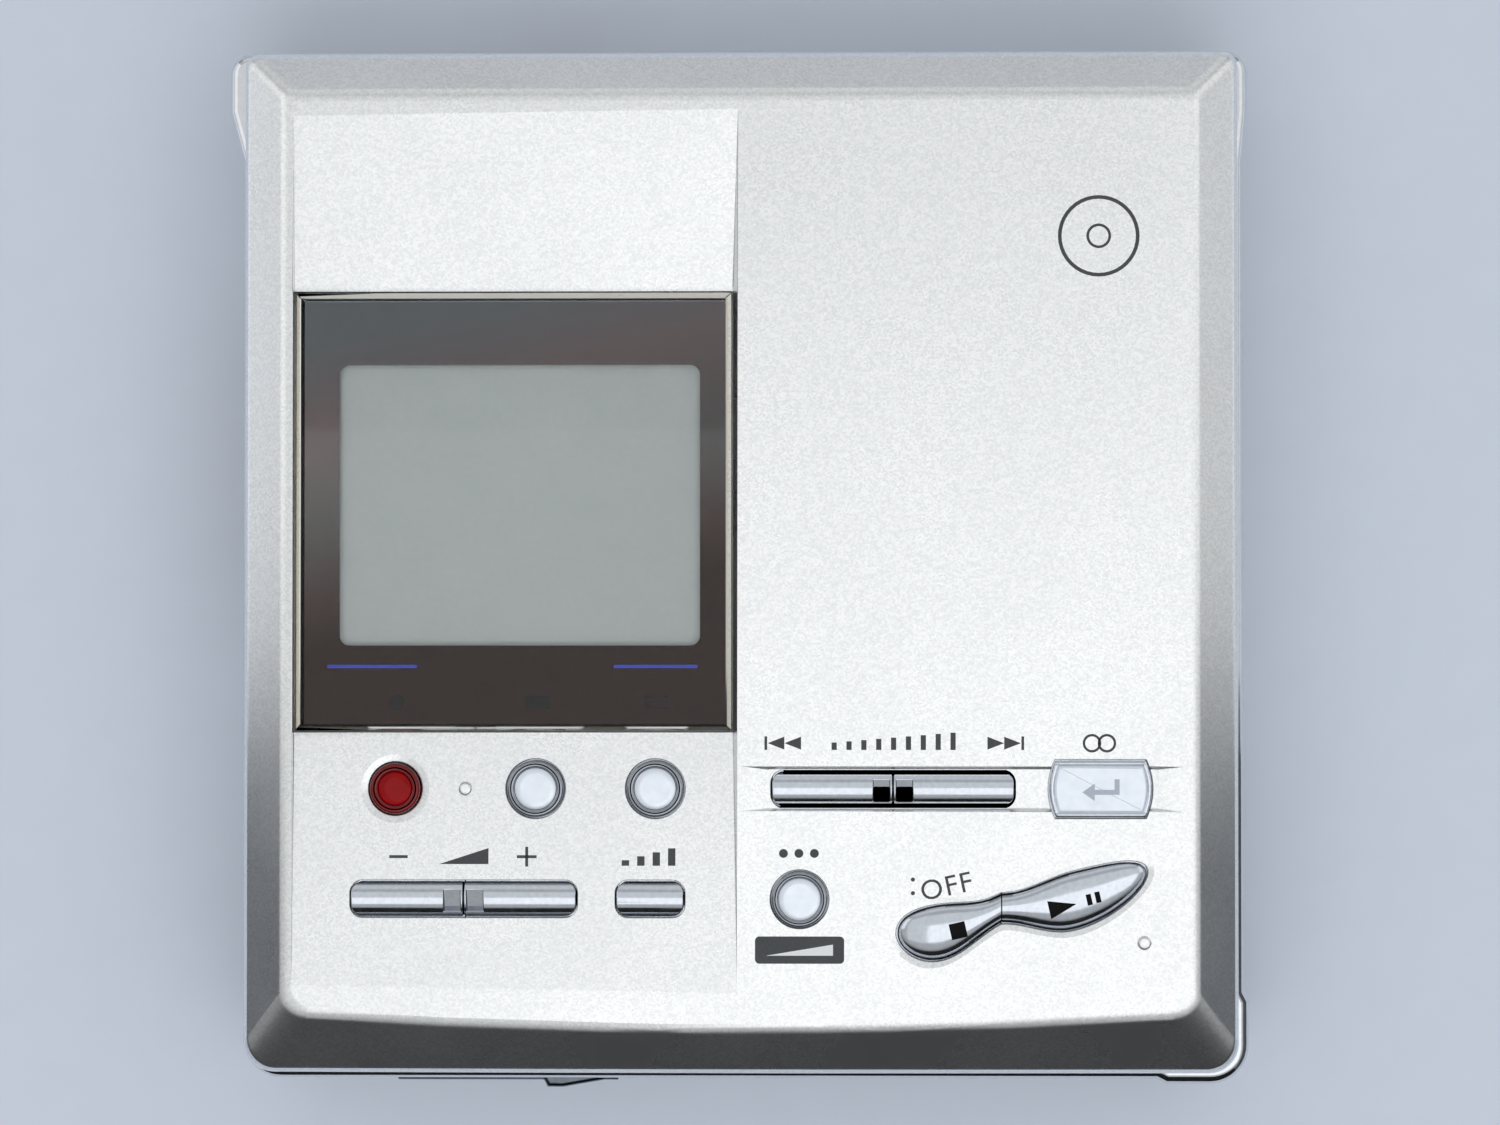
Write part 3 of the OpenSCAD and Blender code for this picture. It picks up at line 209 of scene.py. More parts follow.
def soft_rectangle(x0, x1, y0, y1, radius, steps=6):
    centres = [(x1 - radius, y1 - radius, 0), (x0 + radius, y1 - radius, 90),
               (x0 + radius, y0 + radius, 180), (x1 - radius, y0 + radius, 270)]
    points = []
    for x, y, start in centres:
        for i in range(steps + 1):
            turn = radians(start + 90 * i / steps)
            points.append((x + radius * cos(turn), y + radius * sin(turn)))
    return points


print("outline tools ready")

# %% [markdown]
# ## Finishes
# Paint, plating and plastic differ in three things: colour, gloss and how evenly both are spread.
# Two node groups give that unevenness. One scatters the cells of metal flake, the other gives a fine grain
# with a slow cloud over it. Each material mixes them in with its own sizes, so no surface is one flat colour.

# %% Node groups for flake and grain
def open_group(name, inputs, outputs):
    group = bpy.data.node_groups.new(name, "ShaderNodeTree")
    for label, value in inputs:
        group.interface.new_socket(label, in_out="INPUT", socket_type="NodeSocketFloat").default_value = value
    for label in outputs:
        group.interface.new_socket(label, in_out="OUTPUT", socket_type="NodeSocketFloat")
    return group, group.nodes.new("NodeGroupInput"), group.nodes.new("NodeGroupOutput")


def make_flake():
    group, inlet, outlet = open_group("metal flake", [("Cells", 5000), ("Clouds", 120)], ["Flake", "Cloud"])
    nodes, links = group.nodes, group.links
    place = nodes.new("ShaderNodeTexCoord")
    cells = nodes.new("ShaderNodeTexVoronoi")
    parts = nodes.new("ShaderNodeSeparateColor")
    cloud = nodes.new("ShaderNodeTexNoise")
    cloud.inputs["Detail"].default_value = 4
    for texture, scale in ((cells, "Cells"), (cloud, "Clouds")):
        links.new(place.outputs["Object"], texture.inputs["Vector"])
        links.new(inlet.outputs[scale], texture.inputs["Scale"])
    links.new(cells.outputs["Color"], parts.inputs["Color"])
    links.new(parts.outputs["Red"], outlet.inputs["Flake"])
    links.new(cloud.outputs["Fac"], outlet.inputs["Cloud"])
    return group


def make_grain():
    sizes = [("Scale", 2000), ("Stretch X", 1), ("Stretch Y", 1), ("Stretch Z", 1), ("Clouds", 150)]
    group, inlet, outlet = open_group("fine grain", sizes, ["Grain", "Cloud"])
    nodes, links = group.nodes, group.links
    place = nodes.new("ShaderNodeTexCoord")
    stretch = nodes.new("ShaderNodeCombineXYZ")
    for axis in "XYZ":
        links.new(inlet.outputs["Stretch " + axis], stretch.inputs[axis])
    scaled = nodes.new("ShaderNodeVectorMath")
    scaled.operation = "MULTIPLY"
    links.new(place.outputs["Object"], scaled.inputs[0])
    links.new(stretch.outputs["Vector"], scaled.inputs[1])
    grain = nodes.new("ShaderNodeTexNoise")
    grain.inputs["Detail"].default_value = 3
    cloud = nodes.new("ShaderNodeTexNoise")
    links.new(scaled.outputs["Vector"], grain.inputs["Vector"])
    links.new(place.outputs["Object"], cloud.inputs["Vector"])
    links.new(inlet.outputs["Scale"], grain.inputs["Scale"])
    links.new(inlet.outputs["Clouds"], cloud.inputs["Scale"])
    links.new(grain.outputs["Fac"], outlet.inputs["Grain"])
    links.new(cloud.outputs["Fac"], outlet.inputs["Cloud"])
    return group


flake_group = make_flake()
grain_group = make_grain()
print("node groups:", flake_group.name, "and", grain_group.name)

# %% [markdown]
# A finish is then a Principled shader with a darker and a lighter colour, and a gloss that the group spreads
# between two values. Colours are written as a camera would show them, from 0 to 255, and turned into the
# linear values that the shader wants.

# %% One helper for every finish
def shade(red, green, blue):
    def linear(level):
        level /= 255
        return level / 12.92 if level <= 0.04045 else ((level + 0.055) / 1.055) ** 2.4
    return (linear(red), linear(green), linear(blue), 1)


def spread(nodes, links, source, low, high):
    scaled = nodes.new("ShaderNodeMapRange")
    scaled.inputs["From Min"].default_value = 0.25
    scaled.inputs["From Max"].default_value = 0.75
    scaled.inputs["To Min"].default_value = low
    scaled.inputs["To Max"].default_value = high
    links.new(source, scaled.inputs["Value"])
    return scaled.outputs["Result"]


def tint(nodes, links, source, dark, light):
    mixed = nodes.new("ShaderNodeMix")
    mixed.data_type = "RGBA"
    mixed.inputs["A"].default_value = dark
    mixed.inputs["B"].default_value = light
    links.new(source, mixed.inputs["Factor"])
    return mixed.outputs["Result"]


def finish(name, sizes, dark, light, gloss, bump=0.0, **settings):
    material = bpy.data.materials.new(name)
    material.use_nodes = True
    nodes, links = material.node_tree.nodes, material.node_tree.links
    shader = nodes["Principled BSDF"]
    for key, value in settings.items():
        shader.inputs[key.replace("_", " ")].default_value = value
    texture = nodes.new("ShaderNodeGroup")
    texture.node_tree = flake_group if "Cells" in sizes else grain_group
    for key, value in sizes.items():
        texture.inputs[key].default_value = value
    fine, cloud = texture.outputs[0], texture.outputs["Cloud"]
    links.new(tint(nodes, links, fine, shade(*dark), shade(*light)), shader.inputs["Base Color"])
    links.new(spread(nodes, links, cloud, *gloss), shader.inputs["Roughness"])
    if bump:
        relief = nodes.new("ShaderNodeBump")
        relief.inputs["Strength"].default_value = bump
        relief.inputs["Distance"].default_value = 0.02 * MM
        links.new(fine, relief.inputs["Height"])
        links.new(relief.outputs["Normal"], shader.inputs["Normal"])
    return material


print("finish helper ready")

# %% [markdown]
# The lid is sprayed with a pearl silver: flakes of metal a sixth of a millimetre apart under a clear coat.
# The case below it has the same flake in a duller paint. Belt and long keys are plated, so nearly all of
# their look is what they mirror.

# %% Paints, platings and plastics of the outside
pearl_silver = finish("pearl silver paint", {"Cells": 6500, "Clouds": 90},
                      (228, 230, 231), (248, 249, 249), (0.25, 0.31), bump=0.025,
                      Metallic=0.96, Coat_Weight=0.1, Coat_Roughness=0.2)
case_silver = finish("case silver paint", {"Cells": 6500, "Clouds": 110},
                     (190, 194, 197), (212, 215, 217), (0.38, 0.46), bump=0.06, Metallic=0.9)
bright_plate = finish("bright plating", {"Scale": 1500, "Clouds": 300},
                      (214, 217, 221), (232, 234, 237), (0.06, 0.13), Metallic=1.0)
key_plate = finish("key plating", {"Scale": 2600, "Clouds": 700},
                   (200, 206, 215), (226, 231, 238), (0.1, 0.18), bump=0.06, Metallic=1.0)
# The rim plating is also laid on the steep flanks of the plated keys, where its darker tone is a painted dark
# reflection.
rim_plate_and_painted_flank_reflection = finish("rim plating and painted flank reflection", {"Scale": 2200, "Clouds": 500},
                   (142, 147, 155), (172, 177, 184), (0.08, 0.16), Metallic=1.0)
pearl_face = finish("pale pearl face", {"Scale": 1300, "Clouds": 700},
                    (222, 231, 243), (242, 247, 252), (0.26, 0.4), Metallic=0.7, Coat_Weight=0.2)
clear_red = finish("clear deep red", {"Scale": 700, "Clouds": 500},
                   (120, 1, 5), (172, 5, 14), (0.04, 0.1), Coat_Weight=0.1, Coat_Roughness=0.02,
                   Specular_IOR_Level=0.1)
# The darker red on the record button's rounded ring is painted shade.
red_ring_painted_shade = finish("red ring with painted shade", {"Scale": 700, "Clouds": 500},
                  (92, 0, 4), (132, 2, 9), (0.04, 0.1), Coat_Weight=0.5, Coat_Roughness=0.02,
                  Specular_IOR_Level=0.2)
# The darker plating of the open lever is a painted dark reflection.
plate_with_painted_dark_reflection = finish("plating with painted dark reflection", {"Scale": 1500, "Clouds": 300},
                     (92, 98, 105), (118, 124, 131), (0.08, 0.16), Metallic=1.0)
INK_GRAIN = {"Scale": 5000, "Clouds": 400}
dark_ink = finish("dark grey ink", INK_GRAIN,
                  (52, 55, 60), (74, 77, 82), (0.45, 0.6))
black_ink = finish("black ink", INK_GRAIN,
                   (6, 5, 7), (14, 13, 16), (0.4, 0.5), Specular_IOR_Level=0.1)
grey_ink = finish("pale grey ink", INK_GRAIN,
                  (172, 182, 198), (190, 198, 211), (0.4, 0.5))
white_ink = finish("white ink", INK_GRAIN,
                   (226, 229, 231), (242, 243, 244), (0.45, 0.6))
blue_ink = finish("blue ink", INK_GRAIN,
                  (26, 50, 190), (46, 78, 236), (0.3, 0.4))
print("outside finishes:", len(bpy.data.materials))

# %% [markdown]
# ## The lid shell
# The lid is a shallow tray turned over, with a flat top, a bevel on all four sides and a front edge that bows
# out. Its rear corners are tighter than those in front. It could be cut from a block as in a workshop. Here
# it is drawn up from its outline in two steps, because extruding and then scaling the last ring gives bevels
# whose corners round themselves.

# %% Outer form of the lid
CASE_X, CASE_Y = 40.5, 41.6
LID_Z0, LID_FOOT, LID_TOP, CEILING = 16.2, 22.0, 25.0, 22.6
FACE_X, FACE_REAR, FACE_FRONT, BOW = 36.9, 38.0, -37.8, 1.3
FRONT_CORNER_R, REAR_CORNER_R, FRONT_RUN = 2.4, 1.1, 3.8


def bow_at(x):
    return BOW * min(1.0, (x / FACE_X) ** 2)


take(None)
bpy.ops.mesh.primitive_plane_add(size=2)
lid_shell = bpy.context.object
lid_shell.name = "lid_shell"
edit(lid_shell, "VERT", "SELECT")
bpy.ops.transform.resize(value=(CASE_X * MM, CASE_Y * MM, 1), center_override=(0, 0, 0))
bpy.ops.transform.translate(value=(0, 0, LID_Z0 * MM))
for side, radius in ((-1, FRONT_CORNER_R), (1, REAR_CORNER_R)):
    edit(lid_shell, "VERT")
    pick(lid_shell, "VERT", lambda corner: side * corner.co.y > (CASE_Y - 0.01) * MM)
    bpy.ops.mesh.bevel(offset=radius * MM, segments=12, affect="VERTICES")
edit(lid_shell, "EDGE")
pick(lid_shell, "EDGE", lambda edge: all(corner.co.y < -(CASE_Y - 0.01) * MM for corner in edge.verts))
bpy.ops.mesh.subdivide(number_cuts=31)
edit(lid_shell, "FACE", "SELECT")
lift(LID_FOOT - LID_Z0)
lift(LID_TOP - LID_FOOT)
bpy.ops.transform.resize(value=(FACE_X / CASE_X, FACE_REAR / CASE_Y, 1), center_override=(0, 0, 0))
take(lid_shell)
for corner in lid_shell.data.vertices:
    x, y, z = corner.co / MM
    if z > LID_TOP - 0.01 and y < 0:
        corner.co.y = (y + FACE_REAR + FACE_FRONT + bow_at(x)) * MM
    elif z > LID_FOOT - 0.01 and y < 0:
        inward = max(0.0, -y - CASE_Y + FRONT_CORNER_R)
        corner.co.z -= bow_at(x) * (LID_TOP - LID_FOOT) / FRONT_RUN * inward / FRONT_CORNER_R * MM
close_up(lid_shell)
print("lid outline points:", len(lid_shell.data.vertices))

# %% [markdown]
# Paint never leaves a sharp edge. The rim of the top face gets the widest rounding, because it draws the
# bright and dark lines round the lid. The foot of the bevel is tighter.

# %% Round the two rims and hollow the tray
FACE_ROUND, FOOT_ROUND = 0.7, 0.8
HOLLOW_X, HOLLOW_FRONT, HOLLOW_REAR = 39, -38.4, 40.1
round_edges(lid_shell, at_height(LID_TOP), FACE_ROUND, 4)
round_edges(lid_shell, between(LID_FOOT - 1.6, LID_FOOT + 0.01), FOOT_ROUND, 4)
cut(lid_shell, block("hollow", (-HOLLOW_X, HOLLOW_FRONT, LID_Z0 - 1), (HOLLOW_X, HOLLOW_REAR, CEILING)))
print("tray faces:", len(lid_shell.data.polygons))

# %% [markdown]
# Four bosses under the ceiling take the screws of the lid's inner plate. The knuckles at the rear take the
# hinge pins, with a gap between them for the ears of the belt, and the rear lower edge is rounded about the
# hinge so that it can turn.

# %% Bosses and hinge knuckles
BOSS_X, BOSS_FRONT, BOSS_REAR = 36.6, -35.5, 35.0
BOSS_R, NECK_R, BOSS_Z0, NECK_Z0, NECK_Z1 = 1.8, 1.1, 19.4, 17.8, 19.6
HINGE_Y, HINGE_Z, HINGE_R, PIN_R, EAR_X = 40.6, 17.2, 1.0, 0.55, 29.5
KNUCKLE_HALF, PIN_HALF, EAR_HALF, EAR_TOP = 5.85, 5.55, 2.65, 18.35
for x in (-BOSS_X, BOSS_X):
    for y in (BOSS_FRONT, BOSS_REAR):
        weld(lid_shell, raise_outline("boss", ring(x, y, BOSS_R), BOSS_Z0, CEILING + 0.2))
        weld(lid_shell, raise_outline("neck", ring(x, y, NECK_R), NECK_Z0, NECK_Z1))
for side in (-1, 1):
    barrel = ring(HINGE_Y, HINGE_Z, HINGE_R - 0.08, 40)
    knuckle = run_along("X", "knuckle", barrel, side * EAR_X - KNUCKLE_HALF, side * EAR_X + KNUCKLE_HALF)
    weld(lid_shell, knuckle)
arc = [(HINGE_Y + HINGE_R * sin(radians(6 * i)), HINGE_Z - HINGE_R * cos(radians(6 * i))) for i in range(16)]
heel = run_along("X", "heel", arc + [(43.5, HINGE_Z), (43.5, LID_Z0 - 1), (HINGE_Y, LID_Z0 - 1)], -45, 45)
cut(lid_shell, heel)
for side in (-1, 1):
    ear_x0, ear_x1 = side * EAR_X - EAR_HALF, side * EAR_X + EAR_HALF
    cut(lid_shell, block("ear_room", (ear_x0, 39.3, LID_Z0 - 1), (ear_x1, 42.6, EAR_TOP)))
    pin_hole = ring(HINGE_Y, HINGE_Z, PIN_R, 24)
    cut(lid_shell, run_along("X", "pin_hole", pin_hole, side * EAR_X - PIN_HALF, side * EAR_X + PIN_HALF))
print("lid with hinge:", len(lid_shell.data.polygons))

# %% [markdown]
# The left half of the face sinks towards the display and rises again in front of it. A wedge-shaped cutter
# gives the long straight steps at both sides, which fade where the floor meets the face again. Its right
# wall leans out a little, so the step shows from above. The display's opening goes right through.

# %% Sunken panel and display opening
PANEL_X0, PANEL_X1 = -36.2, -0.5
ROW_1, ROW_2 = -18.4, -27.3
PANEL_REAR, FLOOR_REAR, FLOOR_FRONT, PANEL_FRONT = 36.2, 22.3, -14.0, -34.2
PANEL_FLOOR, PANEL_DEPTH, PANEL_RUN, WALL_LEAN = 23.9, 1.1, 20.2, 0.35
ABOVE, CUT_Z0 = 27, 21.6
VALLEY = [(PANEL_REAR, LID_TOP), (FLOOR_REAR, PANEL_FLOOR), (FLOOR_FRONT, PANEL_FLOOR),
          (PANEL_FRONT, LID_TOP), (PANEL_FRONT, ABOVE), (PANEL_REAR, ABOVE)]


def panel_z(y):
    return LID_TOP - PANEL_DEPTH * (y - PANEL_FRONT) / PANEL_RUN


valley = run_along("X", "valley", VALLEY, PANEL_X0, PANEL_X1)
for corner in valley.data.vertices:
    if corner.co.x > -1 * MM:
        corner.co.x += WALL_LEAN * (corner.co.z - PANEL_FLOOR * MM)
cut(lid_shell, valley)
cut(lid_shell, block("opening", (PANEL_X0, -13.8, CUT_Z0), (PANEL_X1, 21.9, ABOVE)))
print("panel floor at the record button:", round(panel_z(ROW_1), 2))

# %% [markdown]
# The stop and play keys share one wavy band: two lobes that meet at a waist and climb to the right.
# Its edge is worked out from a few lengths, so the keys, their hole and the flare round the hole
# all follow the same curve at different distances.

# %% The wavy band of the stop and play keys
WAVE_X0, WAVE_X1, WAVE_SPLIT, WAVE_Y0, WAVE_RISE = 12.8, 32.9, 21.2018, -30.05, 4.87
LOBE_LEFT, LOBE_RIGHT, WAIST, SAG = 2.2, 2.3, 1.15, 0.8


def wave_share(x, grow=0.0):
    if x < WAVE_SPLIT:
        return max(0.0, (x - WAVE_X0 + grow) / (WAVE_SPLIT - WAVE_X0 + grow))
    return min(1.0, (x - WAVE_SPLIT) / (WAVE_X1 + grow - WAVE_SPLIT))


def wave_half(x, grow=0.0):
    u = wave_share(x, grow)
    if x < WAVE_SPLIT and u < 0.4:
        return (LOBE_LEFT + grow) * sqrt(max(0.0, 1 - (1 - u / 0.4) ** 2))
    if x < WAVE_SPLIT:
        return WAIST + grow + (LOBE_LEFT - WAIST) * (1 + cos(pi * (u - 0.4) / 0.6)) / 2
    if u < 0.5:
        return WAIST + grow + (LOBE_RIGHT - WAIST) * (1 - cos(2 * pi * u)) / 2
    return (LOBE_RIGHT + grow) * sqrt(max(0.0, 1 - ((u - 0.5) / 0.5) ** 2))


def wave_mid(x):
    return WAVE_Y0 + WAVE_RISE * (x - WAVE_X0) / (WAVE_X1 - WAVE_X0) - SAG * sin(pi * wave_share(x))


def wave_outline(grow, steps=56):
    x0, x1 = WAVE_X0 - grow, WAVE_X1 + grow
    across = [x0 + (x1 - x0) * (1 - cos(pi * i / steps)) / 2 for i in range(steps + 1)]
    upper = [(x, wave_mid(x) + wave_half(x, grow)) for x in across[1:-1]]
    lower = [(x, wave_mid(x) - wave_half(x, grow)) for x in across[1:-1]]
    return [(x1, wave_mid(x1))] + upper[::-1] + [(x0, wave_mid(x0))] + lower


print("wave outline points:", len(wave_outline(0)))

# %% [markdown]
# Each key comes up through a hole a little larger than itself. The record button sits in a dish, the wavy
# pair in a shallow flared rim, and the skip bar in a groove with slanted walls whose ends run out into
# the face. The enter key is flat in front and behind, and bulges at both sides.

# %% Key holes, dishes and the groove
KEY_GAP = 0.12
RECORD_X, DISPLAY_X, EDIT_X = -27.9, -16.5, -6.8
RECORD_R, ROUND_R, MODE_R = 2.05, 2.3, 2.25
MODE_AT, ENTER_AT = (4.9, ROW_2), (29.2, ROW_1)
VOLUME, BASS, SKIP = (-31.4, -13.2), (-9.9, -4.5), (2.7, 22.2)
BAR_D, BAR_R = 2.8, 0.9
ENTER_D, ENTER_BULGE_R, ENTER_INSET = 4.5, 5.3125, 1.2125
DISH_W, DISH_H, FLARE_W, FLARE_H = 1.2, 0.13, 1.1, 0.1
GROOVE_X0, GROOVE_X1, GROOVE_RUN = 0.4, 35.6, 2.0
GROOVE_FLOOR, GROOVE_TOP, GROOVE_LEAN = 24.75, 26, 0.8


def bar_outline(span, y, grow):
    half = BAR_D / 2 + grow
    return soft_rectangle(span[0] - grow, span[1] + grow, y - half, y + half, BAR_R + grow)


def enter_outline(grow):
    bulge = ENTER_BULGE_R + grow
    reach = asin((ENTER_D / 2 + grow) / bulge)
    side = [(bulge * cos(reach * i / 6) - ENTER_INSET, bulge * sin(reach * i / 6)) for i in range(-6, 7)]
    points = side + [(-x, -y) for x, y in side]
    return [(ENTER_AT[0] + x, ENTER_AT[1] + y) for x, y in points]


dish = raise_outline("dish", ring(RECORD_X, ROW_1, RECORD_R + KEY_GAP), panel_z(ROW_1) - DISH_H,
                     panel_z(ROW_1) + DISH_H, ring(RECORD_X, ROW_1, RECORD_R + KEY_GAP + DISH_W))
for corner in dish.data.vertices:
    corner.co.z += (panel_z(corner.co.y / MM) - panel_z(ROW_1)) * MM
cut(lid_shell, dish)
flare = raise_outline("flare", wave_outline(KEY_GAP), LID_TOP - FLARE_H, LID_TOP + FLARE_H,
                      wave_outline(FLARE_W))
cut(lid_shell, flare)
groove = [(GROOVE_X0, LID_TOP + 0.01), (GROOVE_X0 + GROOVE_RUN, GROOVE_FLOOR),
          (GROOVE_X1 - GROOVE_RUN, GROOVE_FLOOR), (GROOVE_X1, LID_TOP + 0.01), (GROOVE_X1, GROOVE_TOP),
          (GROOVE_X0, GROOVE_TOP)]
channel = run_along("Y", "groove", groove, -20.0, -16.8)
for corner in channel.data.vertices:
    lean = GROOVE_LEAN if corner.co.y > ROW_1 * MM else -GROOVE_LEAN
    corner.co.y += lean * (corner.co.z - GROOVE_FLOOR * MM)
cut(lid_shell, channel)
holes = [ring(RECORD_X, ROW_1, RECORD_R + KEY_GAP), ring(DISPLAY_X, ROW_1, ROUND_R + KEY_GAP),
         ring(EDIT_X, ROW_1, ROUND_R + KEY_GAP), ring(*MODE_AT, MODE_R + KEY_GAP),
         bar_outline(VOLUME, ROW_2, KEY_GAP), bar_outline(BASS, ROW_2, KEY_GAP),
         bar_outline(SKIP, ROW_1, KEY_GAP), enter_outline(KEY_GAP), wave_outline(KEY_GAP)]
for hole in holes:
    cut(lid_shell, raise_outline("hole", hole, CUT_Z0, ABOVE))
print("key holes cut:", len(holes))

# %% [markdown]
# Two raised dots tell a thumb where it is. They are moulded on, so they are joined to the shell.
# A hair of rounding on every remaining edge then catches the light as thick paint does.

# %% Raised dots, last rounding and paint
DOT_R, DOT_H = 0.52, 0.3
for x, y, z in ((-22.2, ROW_1, panel_z(ROW_1)), (32.7, -30.8, LID_TOP)):
    dot = raise_outline("dot", ring(x, y, DOT_R), z - 0.5, z + DOT_H)
    round_edges(dot, at_height(z + DOT_H), 0.2, 3)
    weld(lid_shell, dot)
edit(lid_shell, "FACE", "SELECT")
bpy.ops.mesh.dissolve_limited(angle_limit=radians(0.3))
take(lid_shell)
soften(lid_shell, 0.06, 2, 32)
edit(lid_shell, "EDGE")
for end in (PANEL_REAR, PANEL_FRONT):
    near, far = (end - 0.9) * MM, (end + 0.9) * MM
    tip = Vector((PANEL_X0, end, LID_TOP)) * MM
    pick(lid_shell, "EDGE", lambda edge: edge.calc_length() > 20 * MM
         and all(near < corner.co.y < far for corner in edge.verts)
         or any((corner.co - tip).length < 0.02 * MM for corner in edge.verts))
    bpy.ops.mesh.mark_sharp()
close_up(lid_shell)
polish(lid_shell, 10.5)
settle(lid_shell, "lid", pearl_silver, "silver_paint", "top_cover")

# %% [markdown]
# ## The display
# A thick clear tile with polished bevels lies flush in the lid. Behind it is a dark mirror film with a
# window, and behind the window the liquid-crystal panel. All three are needed: the depth between them makes
# the thin shadow at the window's edge and the bright lines along the tile's sides.

# %% Finishes of the display
clear_acrylic = finish("clear acrylic", {"Scale": 300, "Clouds": 60},
                       (246, 249, 249), (253, 254, 254), (0.0, 0.02),
                       Transmission_Weight=1.0, IOR=1.49, Specular_Tint=(0.35, 0.35, 0.35, 1))
crystal_grey = finish("crystal panel grey", {"Scale": 1800, "Clouds": 45},
                      (203, 209, 207), (211, 217, 215), (0.3, 0.42))
polished_edge = finish("polished tile edge", {"Scale": 700, "Stretch Y": 0.1, "Clouds": 120},
                       (226, 220, 206), (244, 241, 233), (0.04, 0.1), Metallic=1.0)


def film_with_painted_reflection():
    material = finish("dark mirror film", {"Scale": 2500, "Clouds": 80},
                      (60, 60, 62), (70, 70, 72), (0.03, 0.08), Metallic=1.0)
    nodes, links = material.node_tree.nodes, material.node_tree.links
    place = nodes.new("ShaderNodeTexCoord")
    slope = nodes.new("ShaderNodeVectorMath")
    slope.operation = "DOT_PRODUCT"
    slope.inputs[1].default_value = (-5, 24, 0)
    links.new(place.outputs["Object"], slope.inputs[0])
    # The ramp paints a reflection into the film's colour: dark brown towards the front and right, grey
    # towards the rear.
    ramp = nodes.new("ShaderNodeValToRGB")
    ramp.color_ramp.elements[0].color = shade(34, 21, 17)
    ramp.color_ramp.elements[1].color = shade(94, 101, 104)
    for stop, colour in ((0.1, (56, 44, 42)), (0.26, (78, 76, 75)), (0.46, (104, 92, 92)),
                         (0.6, (96, 99, 102))):
        ramp.color_ramp.elements.new(stop).color = shade(*colour)
    links.new(slope.outputs["Value"], ramp.inputs["Fac"])
    links.new(ramp.outputs["Color"], nodes["Principled BSDF"].inputs["Base Color"])
    return material


dark_film = film_with_painted_reflection()
print("display finishes:", clear_acrylic.name, dark_film.name, crystal_grey.name)

# %% [markdown]
# The tile starts as a block. Its four top edges are chamfered in one flat step, as a polishing wheel leaves
# them, and every edge then gets a hair of rounding.

# %% Tile, film and crystal panel
TILE_LOW, TILE_HIGH = (-36.0, -13.7, 22.8), (-0.6, 21.8, 25.15)
CRYSTAL_LOW, CRYSTAL_HIGH = (-33.3, -7.6, 19.8), (-2.4, 16.8, 22.3)
WINDOW, WINDOW_R = (-32.5, -3.2, -6.8, 16.0), 0.8
tile = block("display_tile_clear", TILE_LOW, TILE_HIGH)
round_edges(tile, at_height(TILE_HIGH[2]), 0.5, 1)
soften(tile, 0.05, 2)
polish(tile)
settle(tile, "lid", [clear_acrylic, polished_edge], "acrylic", "display_tile")
for face in tile.data.polygons:
    if 0.3 < face.normal.z < 0.95 and face.area > 4e-6:
        face.material_index = 1

film = raise_outline("display_film_dark", soft_rectangle(-35.95, -0.65, -13.65, 21.75, 0.1, 2), 22.6, 22.77)
cut(film, raise_outline("window", soft_rectangle(*WINDOW, WINDOW_R), 22, 23.5))
polish(film)
settle(film, "lid", dark_film, "mirror_film", "display_film")

panel = block("crystal_panel", CRYSTAL_LOW, CRYSTAL_HIGH)
edit(panel, "FACE")
pick(panel, "FACE", at_height(CRYSTAL_HIGH[2]))
bpy.ops.mesh.inset(thickness=0.5 * MM, depth=0)
bpy.ops.mesh.inset(thickness=0.15 * MM, depth=-0.08 * MM)
take(panel)
soften(panel, 0.05, 2, 25)
polish(panel)
settle(panel, "lid", crystal_grey, "lcd", "lcd_panel")

# %% [markdown]
# ## Keys
# Every key has a cap, a flange under the lid that keeps it in, and a stem over its switch dome. The cap is
# what shows, so it gets the care. Flange and stem are plain shapes joined on below.

# %% Flange and stem for any key
FLANGE_Z0, FLANGE_Z1, STEM_Z0 = 21.75, 22.55, 20.2
FLANGE_W, STEM_R, KEY_RISE = 0.6, 0.9, 0.5


def join(piece, *others):
    take(piece)
    for other in others:
        other.select_set(True)
    bpy.ops.object.join()


def add_foot(piece, flange, at):
    rim = raise_outline("flange", flange, FLANGE_Z0, FLANGE_Z1)
    stem = raise_outline("stem", ring(*at, STEM_R, 24), STEM_Z0, FLANGE_Z0)
    join(piece, rim, stem)


print("key feet from", STEM_Z0, "to", FLANGE_Z1)

# %% [markdown]
# Round buttons and the enter key are caps with a plated rim round a pale face. The top is inset to
# make the rim, the inner face is sunk a little, and the two rim edges are bevelled until they read as one
# rounded ring. The record button is the same shape in two clear reds: the darker red of its ring is
# painted shade.

# %% Rimmed keys
def rimmed_key(name, outline_at, at, top, rim, crown, inside, finishes, slot):
    cap = raise_outline(name, outline_at(0), FLANGE_Z1 - 0.2, top)
    edit(cap, "FACE")
    pick(cap, "FACE", at_height(top))
    bpy.ops.mesh.inset(thickness=rim * MM, depth=0)
    lift(-0.16)
    bpy.ops.mesh.inset(thickness=0.1 * MM, depth=0.07 * MM)
    bpy.ops.mesh.inset(thickness=crown * MM, depth=0.04 * MM)
    round_edges(cap, at_height(top), rim * 0.42, 4)
    add_foot(cap, outline_at(FLANGE_W), at)
    polish(cap, 40)
    node = name.replace("_cap", "")
    settle(cap, node, finishes, slot, node)
    for face in cap.data.polygons:
        x, y, z = face.center / MM
        if z > FLANGE_Z1 and inside(x - at[0], y - at[1]) and face.normal.z > 0.3:
            face.material_index = 1


def round_key(name, at, radius, top, rim, finishes, slot):
    rimmed_key(name, lambda grow: ring(*at, radius + grow, 64), at, top, rim, 0.4,
               lambda x, y: x * x + y * y < (radius - rim) ** 2, finishes, slot)


